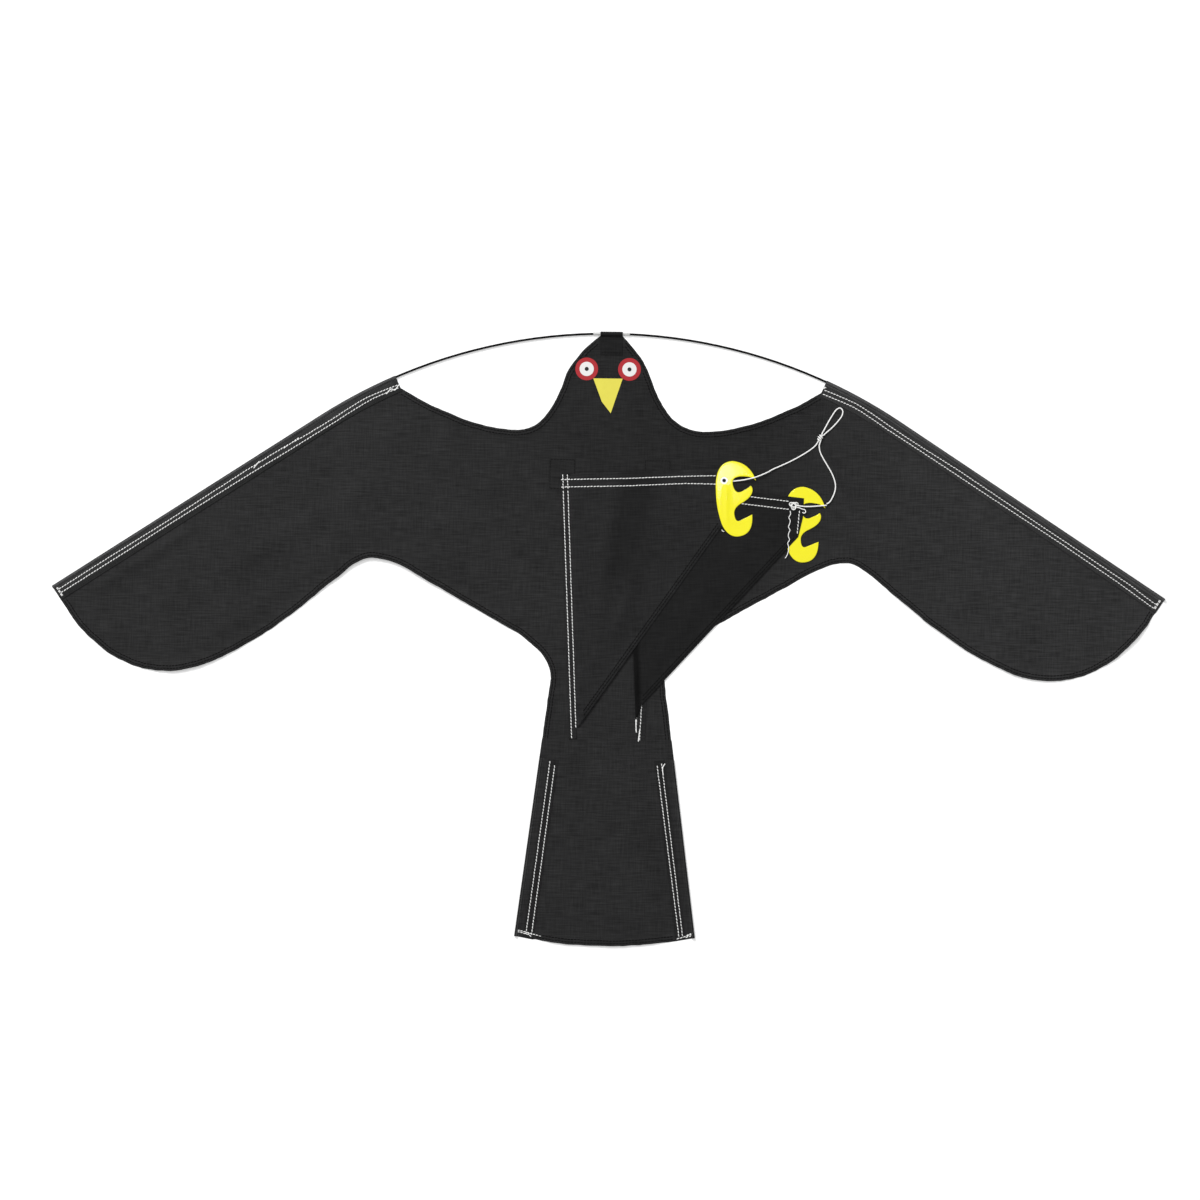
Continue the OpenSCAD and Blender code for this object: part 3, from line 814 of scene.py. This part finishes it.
sail_edge = fine_edge(top_loop("sail"), EDGE_STEP)
uneven = 0.0007 * ripple(sail_edge, 55, 55, 4.4) + 0.0004 * ripple(sail_edge, 150, 150, 2.2)
sail_edge = sail_edge + (hemmed(sail_edge) * (uneven + 0.0002))[:, None] * inward(sail_edge)
SAIL_GRID = 0.006
sail = cut_sheet(
    "sail_cloth", sail_edge, sail_height, thick=0.00034, look="sail_cloth",
    rows=HEM_ROWS, grid=SAIL_GRID, body="kite",
)
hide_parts("sail")
sew_hem("sail_hem_stitches", sail_edge, sail_height, hemmed, "kite")

# Keel flaps

# Corners of the flaps, away from the fold and down along it; the left one has its sewn strip
STRIP_W = 0.0108
LEFT_FLAP = [
    (-STRIP_W, 0.0), (KEEL_DEPTH, 0.0), (KEEL_DEPTH, 0.05006), (0.0, 0.28459),
    (-0.002, 0.28459), (-0.002, KEEL_LEN), (-STRIP_W, KEEL_LEN),
]
RIGHT_FLAP = [
    (0.0, 0.003), (0.1968, 0.0334), (0.195, 0.0545), (0.1889, 0.0765), (0.0075, 0.2585), (0.0, 0.2755),
]
# Where the left flap bends: a line by its fold and how far from it
LEFT_FOLD_ZONE = ([fold_point(LEFT_FOLD, 0.0005, v)[:2] for v in (0.0035, 0.281)], 0.0029)
# The left flap's soft creases: two ends and height; their half width
LEFT_CREASES = [((0.045, 0.03), (0.016, 0.24), 0.0018), ((0.1, 0.04), (0.035, 0.2), 0.0015)]
LEFT_CREASE_W = 0.008
# Where the hems start, from a fold
HEM_START = 0.004
FLAP_THICK = 0.00036
FLAP_GRID = 0.005
LEFT_SLANT = [fold_point(LEFT_FOLD, *LEFT_FLAP[2]), fold_point(LEFT_FOLD, *LEFT_FLAP[3])]


def outer_hem(flat, to_edge, corners, fold_x):
    """A flap's hem, on all its edges but the fold."""
    lines = [[fold_point(fold_x, *p) for p in pair] for pair in zip(corners, corners[1:])]
    near = to_lines(flat, lines)
    return hem(near) * (near < to_edge + 0.0003)


def left_flap_height(flat, to_edge):
    """Top of the left flap, from its sewn strip round the fold and over the flap."""
    u, v = from_fold(LEFT_FOLD, flat)
    strip = np.where(v < PATCH_END, SEAM_TOP, TAPE_TOP) + 0.00002
    free = ease(0.022, 0.06, v) * ease(0.008, 0.04, u) * ease(0.01, 0.04, to_line(flat, LEFT_SLANT))
    free *= 1 - ease(0.1, 0.135, u)
    soft = 0.0022 * np.clip(0.5 + ripple(flat, 24, 11, 5.0), 0, 1.2)
    for start, stop, height in LEFT_CREASES:
        line = [fold_point(LEFT_FOLD, *start), fold_point(LEFT_FOLD, *stop)]
        soft += height * bell(to_line(flat, line), LEFT_CREASE_W)
    sewn = outer_hem(flat, to_edge, LEFT_FLAP[1:4], LEFT_FOLD) * (u > HEM_START) * 0.6
    flap = LEFT_KEEL_Z + CLOTH_T + sewn + free * soft
    return strip + (flap - strip) * ease(-0.0022, 0.0032, u)


def right_flap_height(flat, to_edge):
    """Top of the right flap: flat under the left one, soft beyond it, with a ridge at its fold."""
    u, v = from_fold(RIGHT_FOLD, flat)
    left_u, left_v = from_fold(LEFT_FOLD, flat)
    slant_v = LEFT_FLAP[3][1] + left_u / LEFT_FLAP[2][0] * (LEFT_FLAP[2][1] - LEFT_FLAP[3][1])
    beyond = np.where(left_v > slant_v, to_line(flat, LEFT_SLANT), 0)
    free = ease(0.008, 0.03, beyond) * ease(0.008, 0.03, to_edge) * (1 - ease(0.12, 0.15, u))
    soft = 0.0018 * np.clip(0.5 + ripple(flat, 30, 20, 8.0), 0, 1.2)
    crest = bell(np.maximum(u, 0), 0.005)
    ridge = 0.0024 * ease(0.004, 0.02, beyond) * crest * (1 - ease(0.235, 0.26, v))
    sewn = outer_hem(flat, to_edge, RIGHT_FLAP, RIGHT_FOLD) * 0.5 * (u > HEM_START)
    return RIGHT_KEEL_Z + CLOTH_T + sewn + free * soft + ridge


def flap(name, look, corners, fold_x, height, hole, body, replaced, fold=None):
    outline = np.array([fold_point(fold_x, u, v)[:2] for u, v in corners])
    edge = fine_edge(outline, EDGE_STEP)
    made = cut_sheet(name, edge, height, FLAP_THICK, look, HEM_ROWS, FLAP_GRID, hole, body, fold)
    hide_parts(*replaced)
    return made, edge


left_eyelet = np.array(fold_point(LEFT_FOLD, 0.1728, 0.01341)[:2])
right_eyelet = np.array(fold_point(RIGHT_FOLD, 0.18486, 0.041124)[:2])
# What a bend of the left flap between two bodies would join, and its ends; nothing here uses them
LEFT_BEND = (
    "kite", "left_keel",
    fold_point(LEFT_FOLD, -0.0024, 0.15, 0.0018), fold_point(LEFT_FOLD, 0.0034, 0.15, 0.0018),
)
left_flap, left_edge = flap(
    "left_flap", "keel_cloth", LEFT_FLAP, LEFT_FOLD, left_flap_height, (left_eyelet, EYELET_R), None,
    ("left_keel", "left_keel_seam"), LEFT_FOLD_ZONE,
)
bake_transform(left_flap)
right_flap, right_edge = flap(
    "right_flap", "fold_shadow_cloth", RIGHT_FLAP, RIGHT_FOLD, right_flap_height, (right_eyelet, EYELET_R),
    "right_keel", ("right_keel",),
)

# The right flap's cloth turns back under itself at the fold
ROLL_SIDES = 9
roll_points, roll_faces = [], []
for i, v in enumerate(np.linspace(0.003, 0.2752, 55)):
    base = SEAM_TOP if v < PATCH_END else TAPE_TOP
    fold_top = float(right_flap_height(np.array([fold_point(RIGHT_FOLD, 0.0, v)[:2]]), np.zeros(1))[0])
    middle, half = (base + fold_top) / 2, (fold_top - base) / 2
    for k, turn in enumerate(np.linspace(-math.pi / 2, math.pi / 2, ROLL_SIDES)):
        u = 0.0004 - 0.0009 * math.cos(turn)
        roll_points.append(fold_point(RIGHT_FOLD, u, v, middle + half * math.sin(turn)))
        if i and k:
            a = i * ROLL_SIDES + k
            roll_faces.append((a, a - 1, a - 1 - ROLL_SIDES, a - ROLL_SIDES))
right_roll = mesh_object("right_fold_cloth", roll_points, roll_faces, "fold_shadow_cloth")
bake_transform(right_roll)

# Claws

# Width and height of a claw's rounded edge, and its rib's height
CLAW_EDGE_W = 0.0007
CLAW_EDGE_H = 0.00036
RIB_H = 0.0006
CLAW_ROWS = [0.00012, 0.0003, 0.0006, 0.0012]


def claw(side, eyelet, base, ribbed):
    """A claw on its flap, with a base height and a share of the rib."""
    outline = top_loop(side + "_claw")
    low, high = outline.min(0), outline.max(0)

    def height(flat, to_edge):
        shares = (flat - low) / (high - low)
        rounded = np.sqrt(np.clip(1 - (1 - np.clip(to_edge / CLAW_EDGE_W, 0, 1)) ** 2, 0, 1))
        rib = RIB_H * bell(shares[:, 0] - 0.27, 0.05) * (1 - ease(0.6, 0.7, shares[:, 1]))
        near = ease(0.0042, 0.009, np.linalg.norm(flat - eyelet, axis=1)) * ease(0.001, 0.01, to_edge)
        return base + CLAW_T - CLAW_EDGE_H + CLAW_EDGE_H * rounded + ribbed * rib * near

    edge = fine_edge(outline, step=0.0012)
    made = cut_sheet(
        side + "_claw_sheet", edge, height, thick=0.00022, look="claw_yellow", rows=CLAW_ROWS, grid=0.002,
        hole=(eyelet, EYELET_R), body=side + "_keel",
    )
    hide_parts(side + "_claw")


claw("left", left_eyelet, LEFT_KEEL_Z + CLOTH_T, 1.0)
claw("right", right_eyelet, RIGHT_KEEL_Z - CLAW_T, 0.0)

# Bridle

# The cord's routes in the CAD, joined at the left claw's jaw and set a little apart at the right
LEFT_TIE = [
    (0.1306, 0.179, 0.0012), (0.134, 0.1789, 0.0012), (0.1375, 0.1789, 0.0014), (0.1405, 0.1791, 0.0021),
    (0.145, 0.1796, 0.0031), (0.1505, 0.1804, 0.0039), (0.156, 0.1816, 0.0042), (0.161, 0.1828, 0.0042),
    (0.168, 0.1853, 0.0038), (0.1765, 0.1891, 0.0031),
]
LEFT_LEG = [
    (0.183, 0.1928, 0.0026), (0.191, 0.1964, 0.002), (0.202, 0.2016, 0.0014), (0.212, 0.207, 0.0013),
    (0.222, 0.2132, 0.0013), (0.229, 0.2186, 0.0015), (0.2322, 0.2226, 0.002), (0.2343, 0.2267, 0.0026),
]
RIGHT_TIE = [
    (0.2099, 0.1523, 0.0044), (0.214, 0.1518, 0.0037), (0.22, 0.1513, 0.0031), (0.23, 0.1517, 0.0026),
    (0.2437, 0.153, 0.0024),
]
RIGHT_LEG = [
    (0.2436, 0.1545, 0.0024), (0.2472, 0.157, 0.0021), (0.2506, 0.163, 0.0016), (0.253, 0.17, 0.0013),
    (0.253, 0.178, 0.0013), (0.25, 0.187, 0.0013), (0.245, 0.196, 0.0013), (0.2395, 0.205, 0.0013),
    (0.2356, 0.213, 0.0014), (0.2346, 0.22, 0.0019), (0.2363, 0.2261, 0.0026),
]
LOOP = [
    (0.2369, 0.2322, 0.003), (0.24, 0.238, 0.0021), (0.2445, 0.2465, 0.0014), (0.2495, 0.255, 0.0013),
    (0.2532, 0.2602, 0.0013), (0.2574, 0.2624, 0.0013), (0.2604, 0.2594, 0.0013), (0.2596, 0.2536, 0.0013),
    (0.2545, 0.2465, 0.0013), (0.248, 0.2395, 0.0015), (0.2426, 0.2348, 0.0021), (0.2388, 0.2312, 0.003),
]


def bridle_cord(name, route, node_names, body):
    path = curve_through(route, 0.0007)
    made = tube(name, path, CORD_R, "cord_white", body)
    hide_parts(*node_names)
    return made


def knot(name, path, replaced, body, radius=CORD_R):
    made = tube(name, evenly(path, 0.0006), radius, "cord_white", body)
    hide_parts(replaced)
    return made


# The bridle's knot: the cord wound round its own strands
KNOT_TURNS = 3.2
KNOT_LEN = 0.0075
knot_middle = np.array((0.2355, 0.2288, 0.0027))
along = np.array((0.5, 0.866, 0.0))
across = np.array((0.866, -0.5, 0.0))
upward = np.array((0.0, 0.0, 0.8))
wound = []
for t in np.linspace(0, 1, 120):
    turn = 2 * math.pi * KNOT_TURNS * t
    reach = 0.0011 + 0.0012 * math.sin(math.pi * t)
    around = across * math.cos(turn) + upward * math.sin(turn)
    wound.append(knot_middle + along * (t - 0.5) * KNOT_LEN + reach * around)
bridle_knot = knot("bridle_knot_cord", wound, "bridle_knot", "bridle")

# The knot on the right eyelet: an open overhand knot over a single turn, with a loose end
wound = []
for t in np.linspace(0.3, 2 * math.pi + 0.1, 120):
    x = right_eyelet[0] + 0.0018 * (math.sin(t) + 2 * math.sin(2 * t))
    y = right_eyelet[1] + 0.0016 * (math.cos(t) - 2 * math.cos(2 * t))
    wound.append((x, y, 0.0039 - 0.0008 * math.sin(3 * t)))
wound += [
    (0.2125, 0.1498, 0.0036), (0.2162, 0.1484, 0.0031), (0.2192, 0.1476, 0.0029),
    (0.2201, 0.1452, 0.003), (0.2183, 0.1438, 0.003), (0.2165, 0.1448, 0.0031),
]
tie_knot = knot("tie_knot_cord", curve_through(wound, 0.0006), "right_tie_knot", "right_keel", 0.00058)
left_cord = bridle_cord(
    "left_bridle_cord", LEFT_TIE + LEFT_LEG, ("left_tie", "bridle_left_leg"), None
)
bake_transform(left_cord)
bridle_cord("right_tie_cord", RIGHT_TIE, ("right_tie",), "right_keel")
bridle_cord("right_bridle_cord", RIGHT_LEG, ("bridle_right_leg",), "bridle")
bridle_cord("line_loop_cord", LOOP, ("bridle_loop",), "line_loop")

# Sewing

# White rows on the wings: places along from the shoulder, and distances from the front edge there
WING_ROWS = {
    -1: (
        [(0.0, 0.0108), (0.042, 0.0086), (0.086, 0.0108), (0.124, 0.01),
         (0.15, 0.0082), (0.2, 0.0076), (0.3, 0.0082), (0.4, 0.0073)],
        [(0.0, 0.0144), (0.034, 0.0128), (0.086, 0.0152), (0.144, 0.0144),
         (0.2, 0.0132), (0.3, 0.0124), (0.44, 0.012)],
    ),
    1: (
        [(0.0, 0.011), (0.042, 0.0083), (0.09, 0.0108), (0.124, 0.0106),
         (0.18, 0.009), (0.28, 0.0093), (0.41, 0.009), (0.44, 0.0108)],
        [(0.0, 0.0158), (0.042, 0.013), (0.086, 0.0153), (0.14, 0.0146),
         (0.22, 0.0143), (0.32, 0.0134), (0.4, 0.0141), (0.44, 0.0158)],
    ),
}
# The same on the tail: distances from its side at both ends, and the upper end's place
TAIL_ROWS = {
    -1: ((0.0125, 0.0129, 0.2), (0.0184, 0.0192, 0.196)),
    1: ((0.0142, 0.0135, 0.199), (0.0195, 0.0176, 0.197)),
}
# Rows that close the tail's sleeves: distances from the edge and up from the corner
TAIL_ENDS = {
    -1: (
        [(0.0005, 0.0074), (0.0115, 0.0062), (0.022, 0.0048), (0.031, 0.0036)],
        [(0.0006, 0.0058), (0.0105, 0.0044), (0.017, 0.0036)],
        [(0.0145, 0.0062), (0.0195, 0.0012)],
    ),
    1: (
        [(0.0005, 0.0052), (0.01, 0.0028), (0.021, 0.0012)],
        [(0.0006, 0.0036), (0.011, 0.0014)],
        [(0.002, 0.0058), (0.0095, 0.0038)],
    ),
}


def on_sleeve(inset, rise, side):
    """A point on a tail's sleeve: over its tube, along its strip or on the sail beyond."""
    z = TAPE_TOP if inset < TAIL_SLEEVE_W else SAIL_TOP + 0.0004
    if inset < 2 * SLEEVE_R:
        z = ROD_Z + math.sqrt(SLEEVE_R**2 - (inset - SLEEVE_R) ** 2)
    return tail_point(inset, rise, side, z)


ROW_RUNS = np.linspace(0.002, WING_RUN - 0.004, 60)
rows = []
for side in SIDES:
    for row in WING_ROWS[side]:
        insets = np.interp(ROW_RUNS, *zip(*row))
        rows.append([wing_point(run, inset, side) for run, inset in zip(ROW_RUNS, insets)])
    for gap in (0.0032, 0.0044):
        rows.append([wing_point(WING_RUN - gap, inset, side) for inset in (0.004, 0.0165)])
    for high, low, rise in TAIL_ROWS[side]:
        rows.append([tail_point(high, rise, side), tail_point(low, 0.003, side)])
    for line in TAIL_ENDS[side]:
        rows.append([on_sleeve(inset, rise, side) for inset, rise in evenly(line, 0.001).tolist()])
# Sewn twice on a short stretch of the left wing
rows.append([(-0.3668, 0.2099, TAPE_TOP + 0.0002), (-0.3494, 0.2219, TAPE_TOP + 0.0002)])
# Down the left flap's sewn strip, and down the right flap's
for u, end in ((-0.008, 0.2975), (-0.0028, 0.2855)):
    rows.append([fold_point(LEFT_FOLD, u, v, SEAM_TOP) for v in (0.0005, 0.0172)])
    rows.append([fold_point(LEFT_FOLD, u, v, TAPE_TOP + 0.0001) for v in (0.0188, end)])
for start_x, end in ((0.0503, 0.299), (0.0456, 0.289)):
    row = []
    for v in (0.002, 0.0172, 0.019, end):
        row.append((start_x - v * math.tan(LEAN), KEEL_Y - v, SEAM_TOP if v < PATCH_END else TAPE_TOP))
    rows.append(row)
sew("white_stitches", rows, "white_thread", "kite")


def on_flap(height, edge, points):
    """Points in plan, set on a flap's upper surface."""
    flat = np.array(points)[:, :2]
    return np.column_stack([flat, height(flat, to_line(flat, closed(edge)))])


# Along the flaps' upper edges, and down the right flap's outer end
left_rows = []
for drops in ((0.0063, 0.0074, 0.0072, 0.0078), (0.0147, 0.0158, 0.0153, 0.0172)):
    line = []
    for u in np.linspace(-0.0102, 0.164, 60):
        line.append(fold_point(LEFT_FOLD, u, np.interp(u, (0.0, 0.06, 0.13, 0.164), drops)))
    left_rows.append(on_flap(left_flap_height, left_edge, line))
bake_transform(sew("left_flap_stitches", left_rows, "white_thread"))
right_rows = []
for drop in (0.0055, 0.0145):
    line = [fold_point(RIGHT_FOLD, u, 0.003 + 0.1547 * u + drop) for u in np.linspace(0.005, 0.18, 40)]
    lifted = on_flap(right_flap_height, right_edge, line)
    lifted[:, 2] -= 0.00055 * inside(lifted[:, :2], left_edge)
    right_rows.append(lifted)
line = [fold_point(RIGHT_FOLD, 0.1913 - 0.13 * (v - 0.047), v) for v in np.linspace(0.047, 0.0735, 9)]
right_rows.append(on_flap(right_flap_height, right_edge, line))
sew("right_flap_stitches", right_rows, "white_thread", "right_keel")

left_claw_edge = top_loop("left_claw")
# Where the black seams start, from a fold
SEAM_START = 0.006


def left_slant_shows(flat):
    """Where the left flap's slanting hem shows."""
    off_claw = ~inside(flat, left_claw_edge) & (to_line(flat, closed(left_claw_edge)) > 0.002)
    return (to_line(flat, LEFT_SLANT) < 0.007) & (from_fold(LEFT_FOLD, flat)[0] > SEAM_START) & off_claw


def right_slant_shows(flat):
    """Where the right flap's slanting hem shows."""
    u, v = from_fold(RIGHT_FOLD, flat)
    return (u > SEAM_START) & (v > 0.076) & ~inside(flat, left_edge)


sew_hem("left_flap_hem_stitches", left_edge, left_flap_height, left_slant_shows, "left_keel")
sew_hem("right_flap_hem_stitches", right_edge, right_flap_height, right_slant_shows, "right_keel")

# Round the patches, and across the head's loop
PATCH_SEAM = [(0.0398, 0.1683), (0.0672, 0.1683), (0.0672, 0.2007), (0.0398, 0.2007), (0.0398, 0.1683)]
rows = []
for side in SIDES:
    corners = [(side * x, y, PATCH_TOP) for x, y in PATCH_SEAM]
    rows += zip(corners, corners[1:])
rows.append([(-0.0115, 0.3215, 0.0012), (0.0115, 0.3215, 0.0012)])
sew("patch_stitches", rows, "black_thread", "kite", 0.0003, 0.0034)

# Loose thread ends on the sail
LOOSE_ENDS = {
    "outer": [(0.0369, -0.1013, 0.0012), (0.0362, -0.1075, 0.0015), (0.0354, -0.1148, 0.0012)],
    "inner": [(0.0324, -0.0899, 0.0009), (0.0326, -0.0975, 0.0014), (0.0331, -0.1046, 0.0012)],
    "shoulder": [
        (-0.2522, 0.2722, 0.0011), (-0.247, 0.2776, 0.0018),
        (-0.2425, 0.2768, 0.0014), (-0.2381, 0.2828, 0.0012),
    ],
    "wing": [(-0.4, 0.187, 0.0011), (-0.3972, 0.1907, 0.0016), (-0.3938, 0.1948, 0.0011)],
    "front": [(0.239, 0.2836, 0.001), (0.2402, 0.2854, 0.0014), (0.2414, 0.2845, 0.001)],
    "tail": [(0.0657, -0.1393, 0.0011), (0.0631, -0.1442, 0.0015), (0.0638, -0.1525, 0.0011)],
}


def loose_thread(name, points, body, radius=0.0006, step=0.0007):
    path = curve_through(points, step)
    tube("loose_thread_" + name, path, radius, "white_thread", body, sides=8, strands=2, lay=0.002)


# The curly end at the right flap's tip
curly = []
for k in range(13):
    u = 0.1807 - 0.0003 * k + 0.001 * math.sin(2.3 * k)
    curly.append(fold_point(RIGHT_FOLD, u, 0.047 + 0.0036 * k, RIGHT_KEEL_Z + CLOTH_T + 0.0006))
curly += [fold_point(RIGHT_FOLD, 0.176, 0.096, 0.0021), fold_point(RIGHT_FOLD, 0.1735, 0.1, 0.0015)]
loose_thread("tip", curly, "right_keel", radius=0.0005)
for name, points in LOOSE_ENDS.items():
    loose_thread(name, points, "kite")
by_claw = [(0.1262, 0.1243, 0.0029), (0.1272, 0.1226, 0.0031), (0.129, 0.1222, 0.003)]
loose_thread("claw", by_claw, "left_keel", radius=0.0004, step=0.0005)

# CAD pieces that keep their shape

# Looks of the pieces, and their slots in the record
SHOWN = {
    "head_loop": ("loop_tape", "sleeve_tape"),
    "rod_ferrule": ("ferrule_plastic", "ferrule_white"),
    "beak": ("beak_yellow", "beak_yellow"),
    "right_keel_seam": ("keel_cloth", "sail_cloth"),
}
for side in ("left", "right"):
    SHOWN[side + "_wing_sleeve"] = (side + "_tape", "sleeve_tape")
    SHOWN[side + "_tail_sleeve"] = (side + "_tail_hem", "sleeve_tape")
    SHOWN[side + "_wing_rod"] = ("rod_fibreglass", "rod_black")
    SHOWN[side + "_tail_rod"] = ("rod_fibreglass", "rod_black")
    SHOWN[side + "_keel_patch"] = ("patch_cloth", "sail_cloth")
    SHOWN[side + "_eye_ring"] = ("eye_red", "eye_red")
    SHOWN[side + "_eye_white"] = ("eye_white", "eye_white")
    SHOWN[side + "_pupil"] = ("eye_black", "eye_black")
    SHOWN[side + "_eyelet"] = ("eyelet_white", "eyelet_white")
for name, (look, record_slot) in SHOWN.items():
    nodes[name].data.materials.clear()
    nodes[name].data.materials.append(LOOKS[look])

# Floor, light and camera

corners = [(-40, -40, 0), (40, -40, 0), (40, 40, 0), (-40, 40, 0)]
floor = mesh_object("floor", corners, [(0, 1, 2, 3)], "floor_paper")

world = bpy.data.worlds.new("studio")
world.use_nodes = True
background = world.node_tree.nodes["Background"].inputs
background["Color"].default_value = (1.0, 1.0, 1.0, 1.0)
background["Strength"].default_value = 0.55
scene.world = world


def area_light(name, place, size, power):
    """A square lamp that points at the kite's middle."""
    data = bpy.data.lights.new(name, "AREA")
    data.size = size
    data.energy = power
    made = bpy.data.objects.new(name, data)
    made.location = place
    made.rotation_euler = (-Vector(place)).to_track_quat("-Z", "Y").to_euler()
    scene.collection.objects.link(made)


area_light("key", (-1.5, 2.6, 2.9), 1.4, 120.0)
area_light("sheen", (-0.5, 0.8, 2.9), 0.5, 10.0)
# The left claw mirrors this one
area_light("glint", (0.22, 0.29, 2.9), 0.06, 0.25)

CAMERA_HEIGHT = 4.0
# Width of floor that the view takes in
VIEW_W = 1.3476
camera_data = bpy.data.cameras.new("camera")
camera_data.lens = camera_data.sensor_width * CAMERA_HEIGHT / VIEW_W
camera = bpy.data.objects.new("camera", camera_data)
camera.location = (-0.0095, 0.0437, CAMERA_HEIGHT)
camera.rotation_euler = (0.0, 0.0, math.radians(0.68))
scene.collection.objects.link(camera)
scene.camera = camera
scene.view_settings.view_transform = "Standard"
